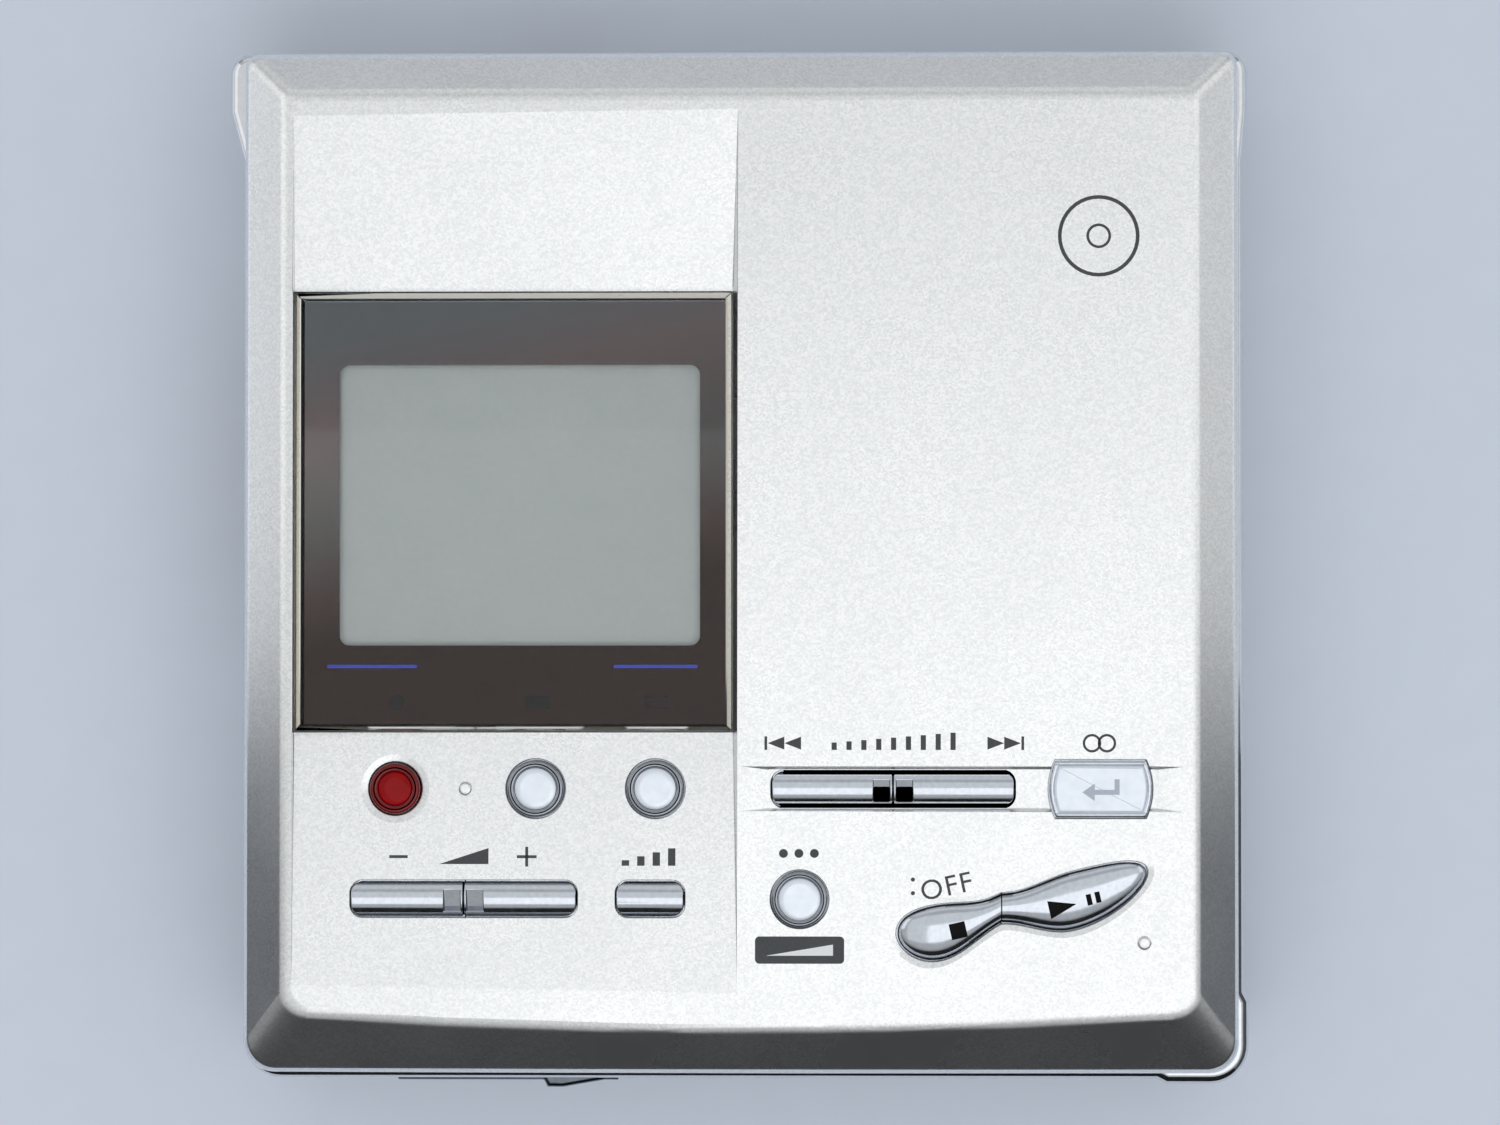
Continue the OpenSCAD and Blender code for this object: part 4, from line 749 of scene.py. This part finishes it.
pale = [rim_plate_and_painted_flank_reflection, pearl_face]
reds = [red_ring_painted_shade, clear_red]
row_top = panel_z(ROW_1) + KEY_RISE
round_key("record_button_cap", (RECORD_X, ROW_1), RECORD_R, row_top, 0.72, reds, "red_plastic")
round_key("display_button_cap", (DISPLAY_X, ROW_1), ROUND_R, row_top, 0.62, pale, "pale_plastic")
round_key("edit_button_cap", (EDIT_X, ROW_1), ROUND_R, row_top, 0.62, pale, "pale_plastic")
round_key("mode_button_cap", MODE_AT, MODE_R, LID_TOP + KEY_RISE, 0.55, pale, "pale_plastic")
rimmed_key("enter_button_cap", enter_outline, ENTER_AT, LID_TOP + KEY_RISE, 0.36, 0.12,
           lambda x, y: abs(x) < 3.74 and abs(y) < 1.89, [key_plate, pearl_face], "pale_plastic")

# %% [markdown]
# The volume, bass and skip keys are half-round bars. A crowned outline is run along X, and what stands out
# of the rounded plan of the whole bar is taken off. A sloping pocket beside the split gives the
# fingertip its place. The steep flanks get the darker plating of the round rims as a painted dark
# reflection, so each key is drawn with a dark line.

# %% Half-round bar keys
CROWN_R, CROWN_HALF_TURN = 1.624, 59.5
POCKET_NEAR, POCKET_FAR, POCKET_HALF = 0.2, 1.55, 1.05


# The steep flanks get the second, darker material: a painted dark reflection.
def paint_flank_reflection(key, steep):
    for face in key.data.polygons:
        if face.normal.z < steep and face.center.z > FLANGE_Z1 * MM:
            face.material_index = 1


def bar_key(name, x0, x1, y, face_z, span, pocket):
    top = face_z + KEY_RISE
    reach = [radians(-CROWN_HALF_TURN + 2 * CROWN_HALF_TURN * i / 24) for i in range(25)]
    crown = [(y - CROWN_R * sin(turn), top - CROWN_R + CROWN_R * cos(turn)) for turn in reach]
    wall = [(y - BAR_D / 2, FLANGE_Z1 - 0.2), (y + BAR_D / 2, FLANGE_Z1 - 0.2)]
    bar = run_along("X", name, wall + crown, x0, x1)
    plan = raise_outline("plan", bar_outline(span, y, 0), FLANGE_Z0, top + 1)
    modify(bar, "BOOLEAN", operation="INTERSECT", object=plan, solver="EXACT")
    bpy.data.objects.remove(plan)
    if pocket:
        ends = (x1 - POCKET_FAR, x1 - POCKET_NEAR) if pocket > 0 else (x0 + POCKET_NEAR, x0 + POCKET_FAR)
        front, rear = y - POCKET_HALF, y + POCKET_HALF
        slope = [(front, top - 1.05), (rear, top - 0.12), (rear, top + 1), (front, top + 1)]
        cut(bar, run_along("X", "pocket", slope, *ends))
    soften(bar, 0.09, 3, 32)
    half = BAR_D / 2 + FLANGE_W
    flange = [(x0, y - half), (x1, y - half), (x1, y + half), (x0, y + half)]
    add_foot(bar, flange, ((x0 + x1) / 2, y))
    close_up(bar)
    polish(bar, 30)
    node = name.replace("_bar", "")
    settle(bar, node, [key_plate, rim_plate_and_painted_flank_reflection], "chrome_key", node)
    paint_flank_reflection(bar, 0.7)


SPLIT = 0.05
volume_mid, skip_mid = sum(VOLUME) / 2, sum(SKIP) / 2
volume_face, skip_face = panel_z(ROW_2), LID_TOP - 0.25
bar_key("volume_down_key_bar", VOLUME[0], volume_mid - SPLIT, ROW_2, volume_face, VOLUME, 1)
bar_key("volume_up_key_bar", volume_mid + SPLIT, VOLUME[1], ROW_2, volume_face, VOLUME, -1)
bar_key("bass_button_bar", BASS[0], BASS[1], ROW_2, volume_face, BASS, 0)
bar_key("skip_back_key_bar", SKIP[0], skip_mid - SPLIT, ROW_1, skip_face, SKIP, 1)
bar_key("skip_forward_key_bar", skip_mid + SPLIT, SKIP[1], ROW_1, skip_face, SKIP, -1)

# %% [markdown]
# The wavy pair has crowned tops. A grid is stretched over each half of the band: across it the grid follows
# the lobes, and its height falls off to the rim like a pebble, with the ridge behind the middle. The open
# rim is then extruded down into a wall and closed.

# %% Crowned stop and play keys
CROWN_FOOT, CROWN_H, CROWN_LEAN, END_SHARE = 24.4, 1.03, 0.09, 0.45


def crowned_key(name, x0, x1, outer):
    take(None)
    bpy.ops.mesh.primitive_grid_add(x_subdivisions=40, y_subdivisions=14, size=2)
    key = bpy.context.object
    key.name = name
    for corner in key.data.vertices:
        along, across = (corner.co.x + 1) / 2, corner.co.y
        x = x0 + (x1 - x0) * (1 - cos(pi * along)) / 2
        spread_y = sin(across * pi / 2)
        from_end = abs(x - outer) / (x1 - x0)
        taper = sqrt(max(0.0, 1 - (1 - from_end / END_SHARE) ** 2)) if from_end < END_SHARE else 1.0
        crown = CROWN_H * taper * sqrt(max(0.0, 1 - spread_y ** 2))
        height = CROWN_FOOT + crown + CROWN_LEAN * wave_half(x) * spread_y
        corner.co = (x * MM, (wave_mid(x) + wave_half(x) * spread_y) * MM, height * MM)
    close_up(key)
    edit(key, "EDGE")
    bpy.ops.mesh.select_non_manifold(extend=False, use_wire=False, use_boundary=True, use_multi_face=False,
                                     use_non_contiguous=False, use_verts=False)
    lift(-2)
    bpy.ops.transform.resize(value=(1, 1, 0))
    bpy.ops.mesh.edge_face_add()
    take(key)
    floor_z = min(corner.co.z for corner in key.data.vertices)
    for corner in key.data.vertices:
        if corner.co.z < floor_z + 1e-6:
            corner.co.z = (FLANGE_Z1 - 0.1) * MM
    close_up(key)
    return key


def close_key(key, x0, x1):
    middle = (x0 + x1) / 2
    steps = [x0 + (x1 - x0) * i / 20 for i in range(21)]
    upper = [(x, wave_mid(x) + wave_half(x, FLANGE_W)) for x in steps]
    lower = [(x, wave_mid(x) - wave_half(x, FLANGE_W)) for x in steps]
    add_foot(key, lower + upper[::-1], (middle, wave_mid(middle)))
    polish(key, 50)
    node = key.name.replace("_crown", "")
    settle(key, node, [key_plate, rim_plate_and_painted_flank_reflection], "chrome_key", node)
    # The steep flanks of the crown get the darker plating as a painted dark reflection.
    paint_flank_reflection(key, 0.62)


stop_crown = crowned_key("stop_key_crown", WAVE_X0, WAVE_SPLIT - SPLIT, WAVE_X0)
play_crown = crowned_key("play_key_crown", WAVE_SPLIT + SPLIT, WAVE_X1, WAVE_X1)
close_key(stop_crown, WAVE_X0 - 0.3, WAVE_SPLIT - SPLIT)
close_key(play_crown, WAVE_SPLIT + SPLIT, WAVE_X1 + 0.3)

# %% [markdown]
# ## Printed marks
# Marks are a few hundredths of a millimetre of ink. Each is a flat outline laid down on the surface below by
# a Shrinkwrap modifier, so it follows the sunken panel and the crowned keys. Only plain signs are used:
# minus and plus, skip, stop, play and pause, and a few bars and dots beside the other keys.

# %% Lay ink on a surface
INK_FROM, INK_LIFT = 40, 0.012


def lay_on(mark, surface):
    modify(mark, "SHRINKWRAP", target=surface, wrap_method="PROJECT", use_project_z=True,
           use_negative_direction=True, use_positive_direction=False, offset=INK_LIFT * MM)
    return mark


def ink_shape(outline, surface=lid_shell):
    take(None)
    bpy.ops.mesh.primitive_circle_add(vertices=len(outline), radius=0.01, fill_type="NGON")
    mark = bpy.context.object
    for corner, (x, y) in zip(mark.data.vertices, outline):
        corner.co = (x * MM, y * MM, INK_FROM * MM)
    edit(mark, "FACE", "SELECT")
    bpy.ops.mesh.inset(thickness=0.02 * MM)
    take(mark)
    return lay_on(mark, surface)


def ink_bar(x, y, width, depth, surface=lid_shell):
    return ink_shape([(x - width / 2, y - depth / 2), (x + width / 2, y - depth / 2),
                      (x + width / 2, y + depth / 2), (x - width / 2, y + depth / 2)], surface)


def ink_triangle(x, y, width, depth, surface=lid_shell):
    back, tip = x - width / 2, x + width / 2
    return ink_shape([(back, y - depth / 2), (tip, y), (back, y + depth / 2)], surface)


def ink_ring(x, y, radius, line, surface=lid_shell):
    halves = []
    for start in (0, 180):
        turns = [radians(start + 180 * i / 20) for i in range(21)]
        outer = [(x + radius * cos(turn), y + radius * sin(turn)) for turn in turns]
        inner = [(x + (radius - line) * cos(turn), y + (radius - line) * sin(turn)) for turn in turns]
        halves.append(ink_shape(outer + inner[::-1], surface))
    return halves


def settle_ink(name, marks, body, ink, slot):
    join(marks[0], *marks[1:])
    marks[0].name = name
    settle(marks[0], body, ink, slot)


print("ink ready")

# %% Marks on the lid
def skip_sign(x, y, way):
    signs = [ink_bar(x + way * 1.42, y, 0.22, 1.1)]
    for step in (-0.75, 0.6):
        signs.append(ink_triangle(x + way * step, y, way * 1.35, 1.05))
    return signs


signs = [ink_bar(-27.6, -23.9, 1.5, 0.24), ink_bar(-17.2, -23.9, 1.6, 0.24),
         ink_bar(-17.2, -23.9, 0.24, 1.6)]
signs.append(ink_shape([(-24.3, -24.5), (-20.3, -24.5), (-20.3, -23.2)]))
for i in range(4):
    signs.append(ink_bar(-9.2 + 1.25 * i, -24.4 + 0.16 * i, 0.6, 0.45 + 0.32 * i))
signs += skip_sign(3.6, -14.7, -1) + skip_sign(21.5, -14.7, 1)
for i in range(9):
    signs.append(ink_bar(7.7 + 1.2 * i, -14.95 + 0.05 * i, 0.42, 0.6 + 0.1 * i))
signs += ink_ring(28.5, -14.7, 0.75, 0.2) + ink_ring(29.7, -14.7, 0.75, 0.2)
for i in range(3):
    signs.append(ink_shape(ring(3.6 + 1.25 * i, -23.6, 0.36, 20)))
signs += ink_ring(29.1, 26.3, 3.3, 0.3) + ink_ring(29.1, 26.3, 1.0, 0.22)
signs.append(ink_shape(soft_rectangle(1.3, 8.5, -32.5, -30.3, 0.35)))
settle_ink("lid_signs", signs, "lid", dark_ink, "black_plastic")

take(None)
bpy.ops.object.text_add()
word = bpy.context.object
word.data.body = "OFF"
word.data.size = 2.3 * MM
word.data.space_character = 1.1
word.data.resolution_u = 4
bpy.ops.object.convert(target="MESH")
tilt = Matrix.Rotation(radians(12), 4, "Z")
for corner in word.data.vertices:
    corner.co = tilt @ corner.co + Vector((14.8, -27.45, INK_FROM)) * MM
dots = [ink_shape(ring(14.05, y, 0.17, 16)) for y in (-25.7, -26.8)]
settle_ink("off_sign", [lay_on(word, lid_shell)] + dots, "lid", dark_ink, "black_plastic")
fade = ink_shape([(2.2, -31.85), (7.6, -31.85), (7.6, -30.95)])
for corner in fade.data.vertices:
    corner.co.z += 0.01 * MM
settle_ink("fade_sign", [fade], "lid", white_ink, "white_plastic")

# %% Marks on the keys and under the tile
def crown_patch(x, y, length, half_start, half_end, surface):
    take(None)
    bpy.ops.mesh.primitive_grid_add(x_subdivisions=10, y_subdivisions=10, size=2)
    patch = bpy.context.object
    lean = Matrix.Rotation(radians(13), 2)
    for corner in patch.data.vertices:
        half = half_start + (half_end - half_start) * (corner.co.x + 1) / 2
        at = lean @ Vector((corner.co.x * length / 2, corner.co.y * half))
        corner.co = ((x + at.x) * MM, (y + at.y) * MM, INK_FROM * MM)
    return lay_on(patch, surface)


stop_signs = [crown_patch(17.7, -29.8, 1.3, 0.65, 0.65, stop_crown)]
settle_ink("stop_sign", stop_signs, "stop_key", black_ink, "black_plastic")
play_signs = [crown_patch(26.1, -27.9, 2.2, 0.75, 0.02, play_crown),
              crown_patch(28.25, -27.3, 0.42, 0.45, 0.45, play_crown),
              crown_patch(28.95, -27.1, 0.42, 0.45, 0.45, play_crown)]
settle_ink("play_sign", play_signs, "play_key", black_ink, "black_plastic")
arrow = [(-1.5, -0.25), (-0.5, -0.95), (-0.5, -0.45), (1.5, -0.45), (1.5, 0.8), (1.1, 0.8), (1.1, -0.05),
         (-0.5, -0.05), (-0.5, 0.45)]
enter_cap = bpy.data.objects["enter_button_cap"]
enter_sign = ink_shape([(ENTER_AT[0] + x, ENTER_AT[1] + y) for x, y in arrow], enter_cap)
settle_ink("enter_sign", [enter_sign], "enter_button", grey_ink, "black_plastic")
lines = [ink_bar(-29.85, -8.5, 7.3, 0.26, film), ink_bar(-6.8, -8.5, 6.8, 0.26, film)]
settle_ink("film_lines", lines, "lid", blue_ink, "mirror_film")
film_signs = [ink_shape(ring(-27.8, -11.4, 0.6, 24), film), ink_bar(-16.4, -11.4, 2.0, 1.1, film)]
for i in range(3):
    film_signs.append(ink_bar(-6.8, -11.85 + 0.45 * i, 1.9, 0.2, film))
settle_ink("film_signs", film_signs, "lid", black_ink, "black_plastic")

# %% [markdown]
# ## Base and belt
# These shapes are right as solids, but their edges are knife sharp. A copy of each is welded, its
# flat faces are joined up again, and all its edges get a small bevel. The rims of the belt and of the open
# lever are rounded more, so that they mirror their surroundings in thin lines. The copy then stands for
# the solid.

# %% Softened copies of the outer solids
BELT_X, BELT_Y, BELT_R, BELT_Z = 41.3, 42.4, 3.2, (9.6, 16.0)


def belt_rim(edge):
    for corner in edge.verts:
        x, y, z = (abs(value) / MM for value in corner.co)
        out_x, out_y = x - BELT_X + BELT_R, y - BELT_Y + BELT_R
        outside = hypot(max(out_x, 0), max(out_y, 0)) + min(max(out_x, out_y), 0) - BELT_R
        if outside < -0.05 or min(abs(z - level) for level in BELT_Z) > 0.02:
            return False
    return abs(edge.verts[0].co.z - edge.verts[1].co.z) < 0.1 * MM


def lever_rim(edge):
    front = all(corner.co.y < -(BELT_Y + 0.2) * MM for corner in edge.verts)
    return front and abs(edge.verts[0].co.z - edge.verts[1].co.z) < 0.1 * MM


def soft_copy(node, name, width, rim=None, rim_width=0):
    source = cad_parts[node]
    piece = bpy.data.objects.new(name, source.data.copy())
    bpy.context.scene.collection.objects.link(piece)
    take(piece)
    bpy.ops.mesh.customdata_custom_splitnormals_clear()
    edit(piece, "VERT", "SELECT")
    bpy.ops.mesh.remove_doubles(threshold=MERGE * MM)
    bpy.ops.mesh.dissolve_limited(angle_limit=radians(0.3))
    if rim:
        round_edges(piece, rim, rim_width, 6)
    soften(piece, width, 2)
    polish(piece, 35)
    return piece


belt = soft_copy("side_frame", "side_frame_soft", 0.12, belt_rim, 0.95)
settle(belt, "base", bright_plate, "chrome_trim", "side_frame")
lever = soft_copy("open_lever", "open_lever_soft", 0.08, lever_rim, 0.45)
# The lever's darker plating is a painted dark reflection.
settle(lever, "open_lever", plate_with_painted_dark_reflection, "chrome_trim", "open_lever")
for node, body, width in (("bottom_cover", "base", 0.12), ("socket_panel", "base", 0.08),
                          ("cell_door", "cell_door", 0.08)):
    settle(soft_copy(node, node + "_soft", width), body, case_silver, "case_plastic", node)

# %% [markdown]
# The hold slider is dark plastic with a grip of fine ribs, so a thumb can push it.

# %% Hold slider with ribs
dark_plastic = finish("dark moulded plastic", {"Scale": 2400, "Clouds": 250},
                      (50, 52, 55), (66, 68, 71), (0.42, 0.55), bump=0.2)
slider = soft_copy("hold_slider", "hold_slider_ribbed", 0.1)
knob_low, knob_high = (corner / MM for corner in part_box("hold_slider"))
for i in range(7):
    y = knob_low.y + 1.1 + i * (knob_high.y - knob_low.y - 2.2) / 6
    cut(slider, block("rib", (knob_high.x - 0.18, y - 0.16, 11), (knob_high.x + 1, y + 0.16, 15)))
polish(slider, 30)
settle(slider, "hold_slider", dark_plastic, "black_plastic", "hold_slider")

# %% [markdown]
# ## Inside the case
# With the lid up, the drive shows. Its solids stay as they are, and each gets the finish of its stuff:
# pressed steel with a dull zinc coat and a faint grain, green boards, black parts, brass, rubber, the lens.

# %% Finishes of the inner pieces
pressed_steel = finish("pressed steel", {"Scale": 1400, "Stretch Y": 0.06, "Clouds": 120},
                       (196, 199, 203), (220, 222, 225), (0.4, 0.5), bump=0.1, Metallic=0.6)
turned_steel = finish("turned steel", {"Scale": 2600, "Stretch X": 0.1, "Clouds": 200},
                      (168, 172, 177), (205, 208, 212), (0.18, 0.3), Metallic=1.0)
green_board = finish("green board", {"Scale": 900, "Clouds": 160},
                     (28, 84, 50), (46, 110, 68), (0.3, 0.45), Coat_Weight=0.3)
black_plastic = finish("black moulded plastic", {"Scale": 2600, "Clouds": 220},
                       (26, 27, 29), (40, 41, 44), (0.4, 0.55), bump=0.2)
white_plastic = finish("white moulded plastic", {"Scale": 2200, "Clouds": 200},
                       (222, 222, 217), (236, 236, 232), (0.4, 0.5), bump=0.15)
plain_brass = finish("plain brass", {"Scale": 2400, "Stretch X": 0.1, "Clouds": 260},
                     (198, 164, 92), (222, 192, 122), (0.22, 0.34), Metallic=1.0)
soft_rubber = finish("soft rubber", {"Scale": 3000, "Clouds": 200},
                     (30, 30, 32), (44, 44, 47), (0.7, 0.85), bump=0.3)
coated_lens = finish("coated lens", {"Scale": 600, "Clouds": 200},
                     (112, 126, 190), (150, 164, 214), (0.02, 0.06), Transmission_Weight=0.6,
                     IOR=1.5)
cell_sleeve = finish("cell sleeve", {"Scale": 900, "Clouds": 90},
                     (196, 172, 84), (216, 194, 108), (0.24, 0.36), Coat_Weight=0.3)
inner_finish = {"steel": pressed_steel, "circuit_board": green_board, "black_plastic": black_plastic,
                "white_plastic": white_plastic, "brass": plain_brass, "rubber": soft_rubber,
                "lens": coated_lens, "cell_wrap": cell_sleeve, "case_plastic": case_silver,
                "chrome_trim": bright_plate, "silver_paint": pearl_silver, "chrome_key": key_plate,
                "pale_plastic": pearl_face, "red_plastic": clear_red, "acrylic": clear_acrylic,
                "mirror_film": dark_film, "lcd": crystal_grey}
turned = {"lead_screw", "guide_shafts", "hinge_pins", "holder_pins", "case_screws", "lid_screws",
          "cell_door_pin"}
for name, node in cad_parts.items():
    slot = node.data.materials[0].name.split(".")[0]
    node.data.materials.clear()
    node.data.materials.append(turned_steel if name in turned else inner_finish[slot])
print("solids with a finish:", len(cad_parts))

# %% [markdown]
# ## Stage, light and camera
# The recorder lies on a plain pale sheet under a soft grey sky that is a little darker towards the viewer.
# Two soft boxes overhead light the face, the stronger one to the front and right, so the face brightens
# that way. Light cards stand at the sides and behind. As in a studio, dark cards stand round the front, where
# only mirrored light meets them: they draw the dark front bevel and the dark lines along the plated keys. A
# fill from the front lifts the sheet and the plastics, and is kept out of mirrored light for the same reason.
# The camera looks straight down from half a metre, a little right of and in front of the middle.

# %% Floor and sky
PAPER_GRAIN = {"Scale": 260, "Clouds": 9}
take(None)
bpy.ops.mesh.primitive_plane_add(size=24)
floor = bpy.context.object
floor.name = "floor"
floor_paper = finish("pale paper", PAPER_GRAIN,
                     (214, 222, 235), (218, 226, 239), (0.8, 0.9), Specular_IOR_Level=0.0)
floor.data.materials.append(floor_paper)

world = bpy.context.scene.world or bpy.data.worlds.new("sky")
bpy.context.scene.world = world
world.use_nodes = True
sky_nodes, sky_links = world.node_tree.nodes, world.node_tree.links
direction = sky_nodes.new("ShaderNodeTexCoord")
lean = sky_nodes.new("ShaderNodeVectorMath")
lean.operation = "DOT_PRODUCT"
lean.inputs[1].default_value = (0, 0.25, 0.968)
sky_ramp = sky_nodes.new("ShaderNodeValToRGB")
for place, level in ((0.1, 0.1), (0.22, 0.16), (0.36, 0.3), (0.47, 0.5)):
    sky_ramp.color_ramp.elements.new(place).color = (level * 0.985, level, level * 1.01, 1)
sky_ramp.color_ramp.elements[0].color = (0.08, 0.081, 0.083, 1)
sky_ramp.color_ramp.elements[-1].color = (0.5, 0.51, 0.52, 1)
sky_links.new(direction.outputs["Generated"], lean.inputs[0])
sky_links.new(lean.outputs["Value"], sky_ramp.inputs["Fac"])
sky_links.new(sky_ramp.outputs["Color"], sky_nodes["Background"].inputs["Color"])
sky_nodes["Background"].inputs["Strength"].default_value = 1
print("floor and sky ready")

# %% Soft boxes overhead and cards at the sides
def light_card(name, at, turn, size, level):
    lamp = bpy.data.objects.new(name, bpy.data.lights.new(name, "AREA"))
    bpy.context.scene.collection.objects.link(lamp)
    lamp.data.shape = "RECTANGLE"
    lamp.data.size, lamp.data.size_y = size
    lamp.data.energy = level * pi * size[0] * size[1]
    lamp.location = at
    lamp.rotation_euler = [radians(angle) for angle in turn]
    lamp.visible_camera = False
    return lamp


light_card("high_box", (0, 0.03, 0.9), (0, 0, 0), (1.5, 1.25), 0.25)
light_card("near_box", (0.32, -0.25, 0.88), (0, 0, 0), (0.96, 0.6), 0.5)
left_card = light_card("left_card", (-0.17, 0.075, 0.09), (0, -90, 0), (0.18, 0.17), 0.54)
right_card = light_card("right_card", (0.17, 0.075, 0.09), (0, 90, 0), (0.18, 0.17), 0.45)
rear_card = light_card("rear_card", (0, 0.2, 0.09), (-90, 0, 0), (0.3, 0.17), 0.19)
left_card.visible_diffuse = right_card.visible_diffuse = rear_card.visible_diffuse = False
fill_box = light_card("fill_box", (0, -0.42, 0.76), (29, 0, 0), (0.8, 0.5), 1.35)
fill_box.visible_glossy = False
print("lamps placed")

# %% Dark cards round the front
card_black = finish("black card", PAPER_GRAIN,
                    (12, 12, 13), (18, 18, 19), (0.8, 0.9))
card_grey = finish("grey card", PAPER_GRAIN,
                   (106, 107, 109), (112, 113, 115), (0.8, 0.9))
for name, start, end, height, card in (
        ("front_flag", (-0.105, -0.105), (0.105, -0.105), 0.076, card_black),
        ("left_flag", (-0.105, -0.016), (-0.105, -0.105), 0.047, card_grey),
        ("right_flag", (0.105, -0.105), (0.105, -0.016), 0.054, card_grey)):
    take(None)
    bpy.ops.mesh.primitive_plane_add(size=1)
    flag = bpy.context.object
    flag.name = name
    for corner in flag.data.vertices:
        x, y = start if corner.co.x < 0 else end
        corner.co = (x, y, 0.0 if corner.co.y < 0 else height)
    flag.data.materials.append(card)
    flag.visible_camera = flag.visible_diffuse = flag.visible_shadow = flag.visible_transmission = False
print("dark cards placed")

# %% Camera
camera = bpy.data.objects.new("camera", bpy.data.cameras.new("camera"))
bpy.context.scene.collection.objects.link(camera)
AIM = (0.9, -0.1, LID_TOP)
EYE = (12.9, -10.1, LID_TOP + 450)
back = (Vector(EYE) - Vector(AIM)).normalized()
right = Vector((0, 1, 0)).cross(back).normalized()
camera.rotation_euler = Matrix((right, back.cross(right), back)).transposed().to_euler()
camera.location = Vector(EYE) * MM
camera.data.lens = 36 * (Vector(EYE) - Vector(AIM)).length / 121.3
camera.data.clip_start = 0.01
bpy.context.scene.camera = camera
bpy.context.scene.view_settings.view_transform = "Standard"
print("camera lens:", round(camera.data.lens, 1))
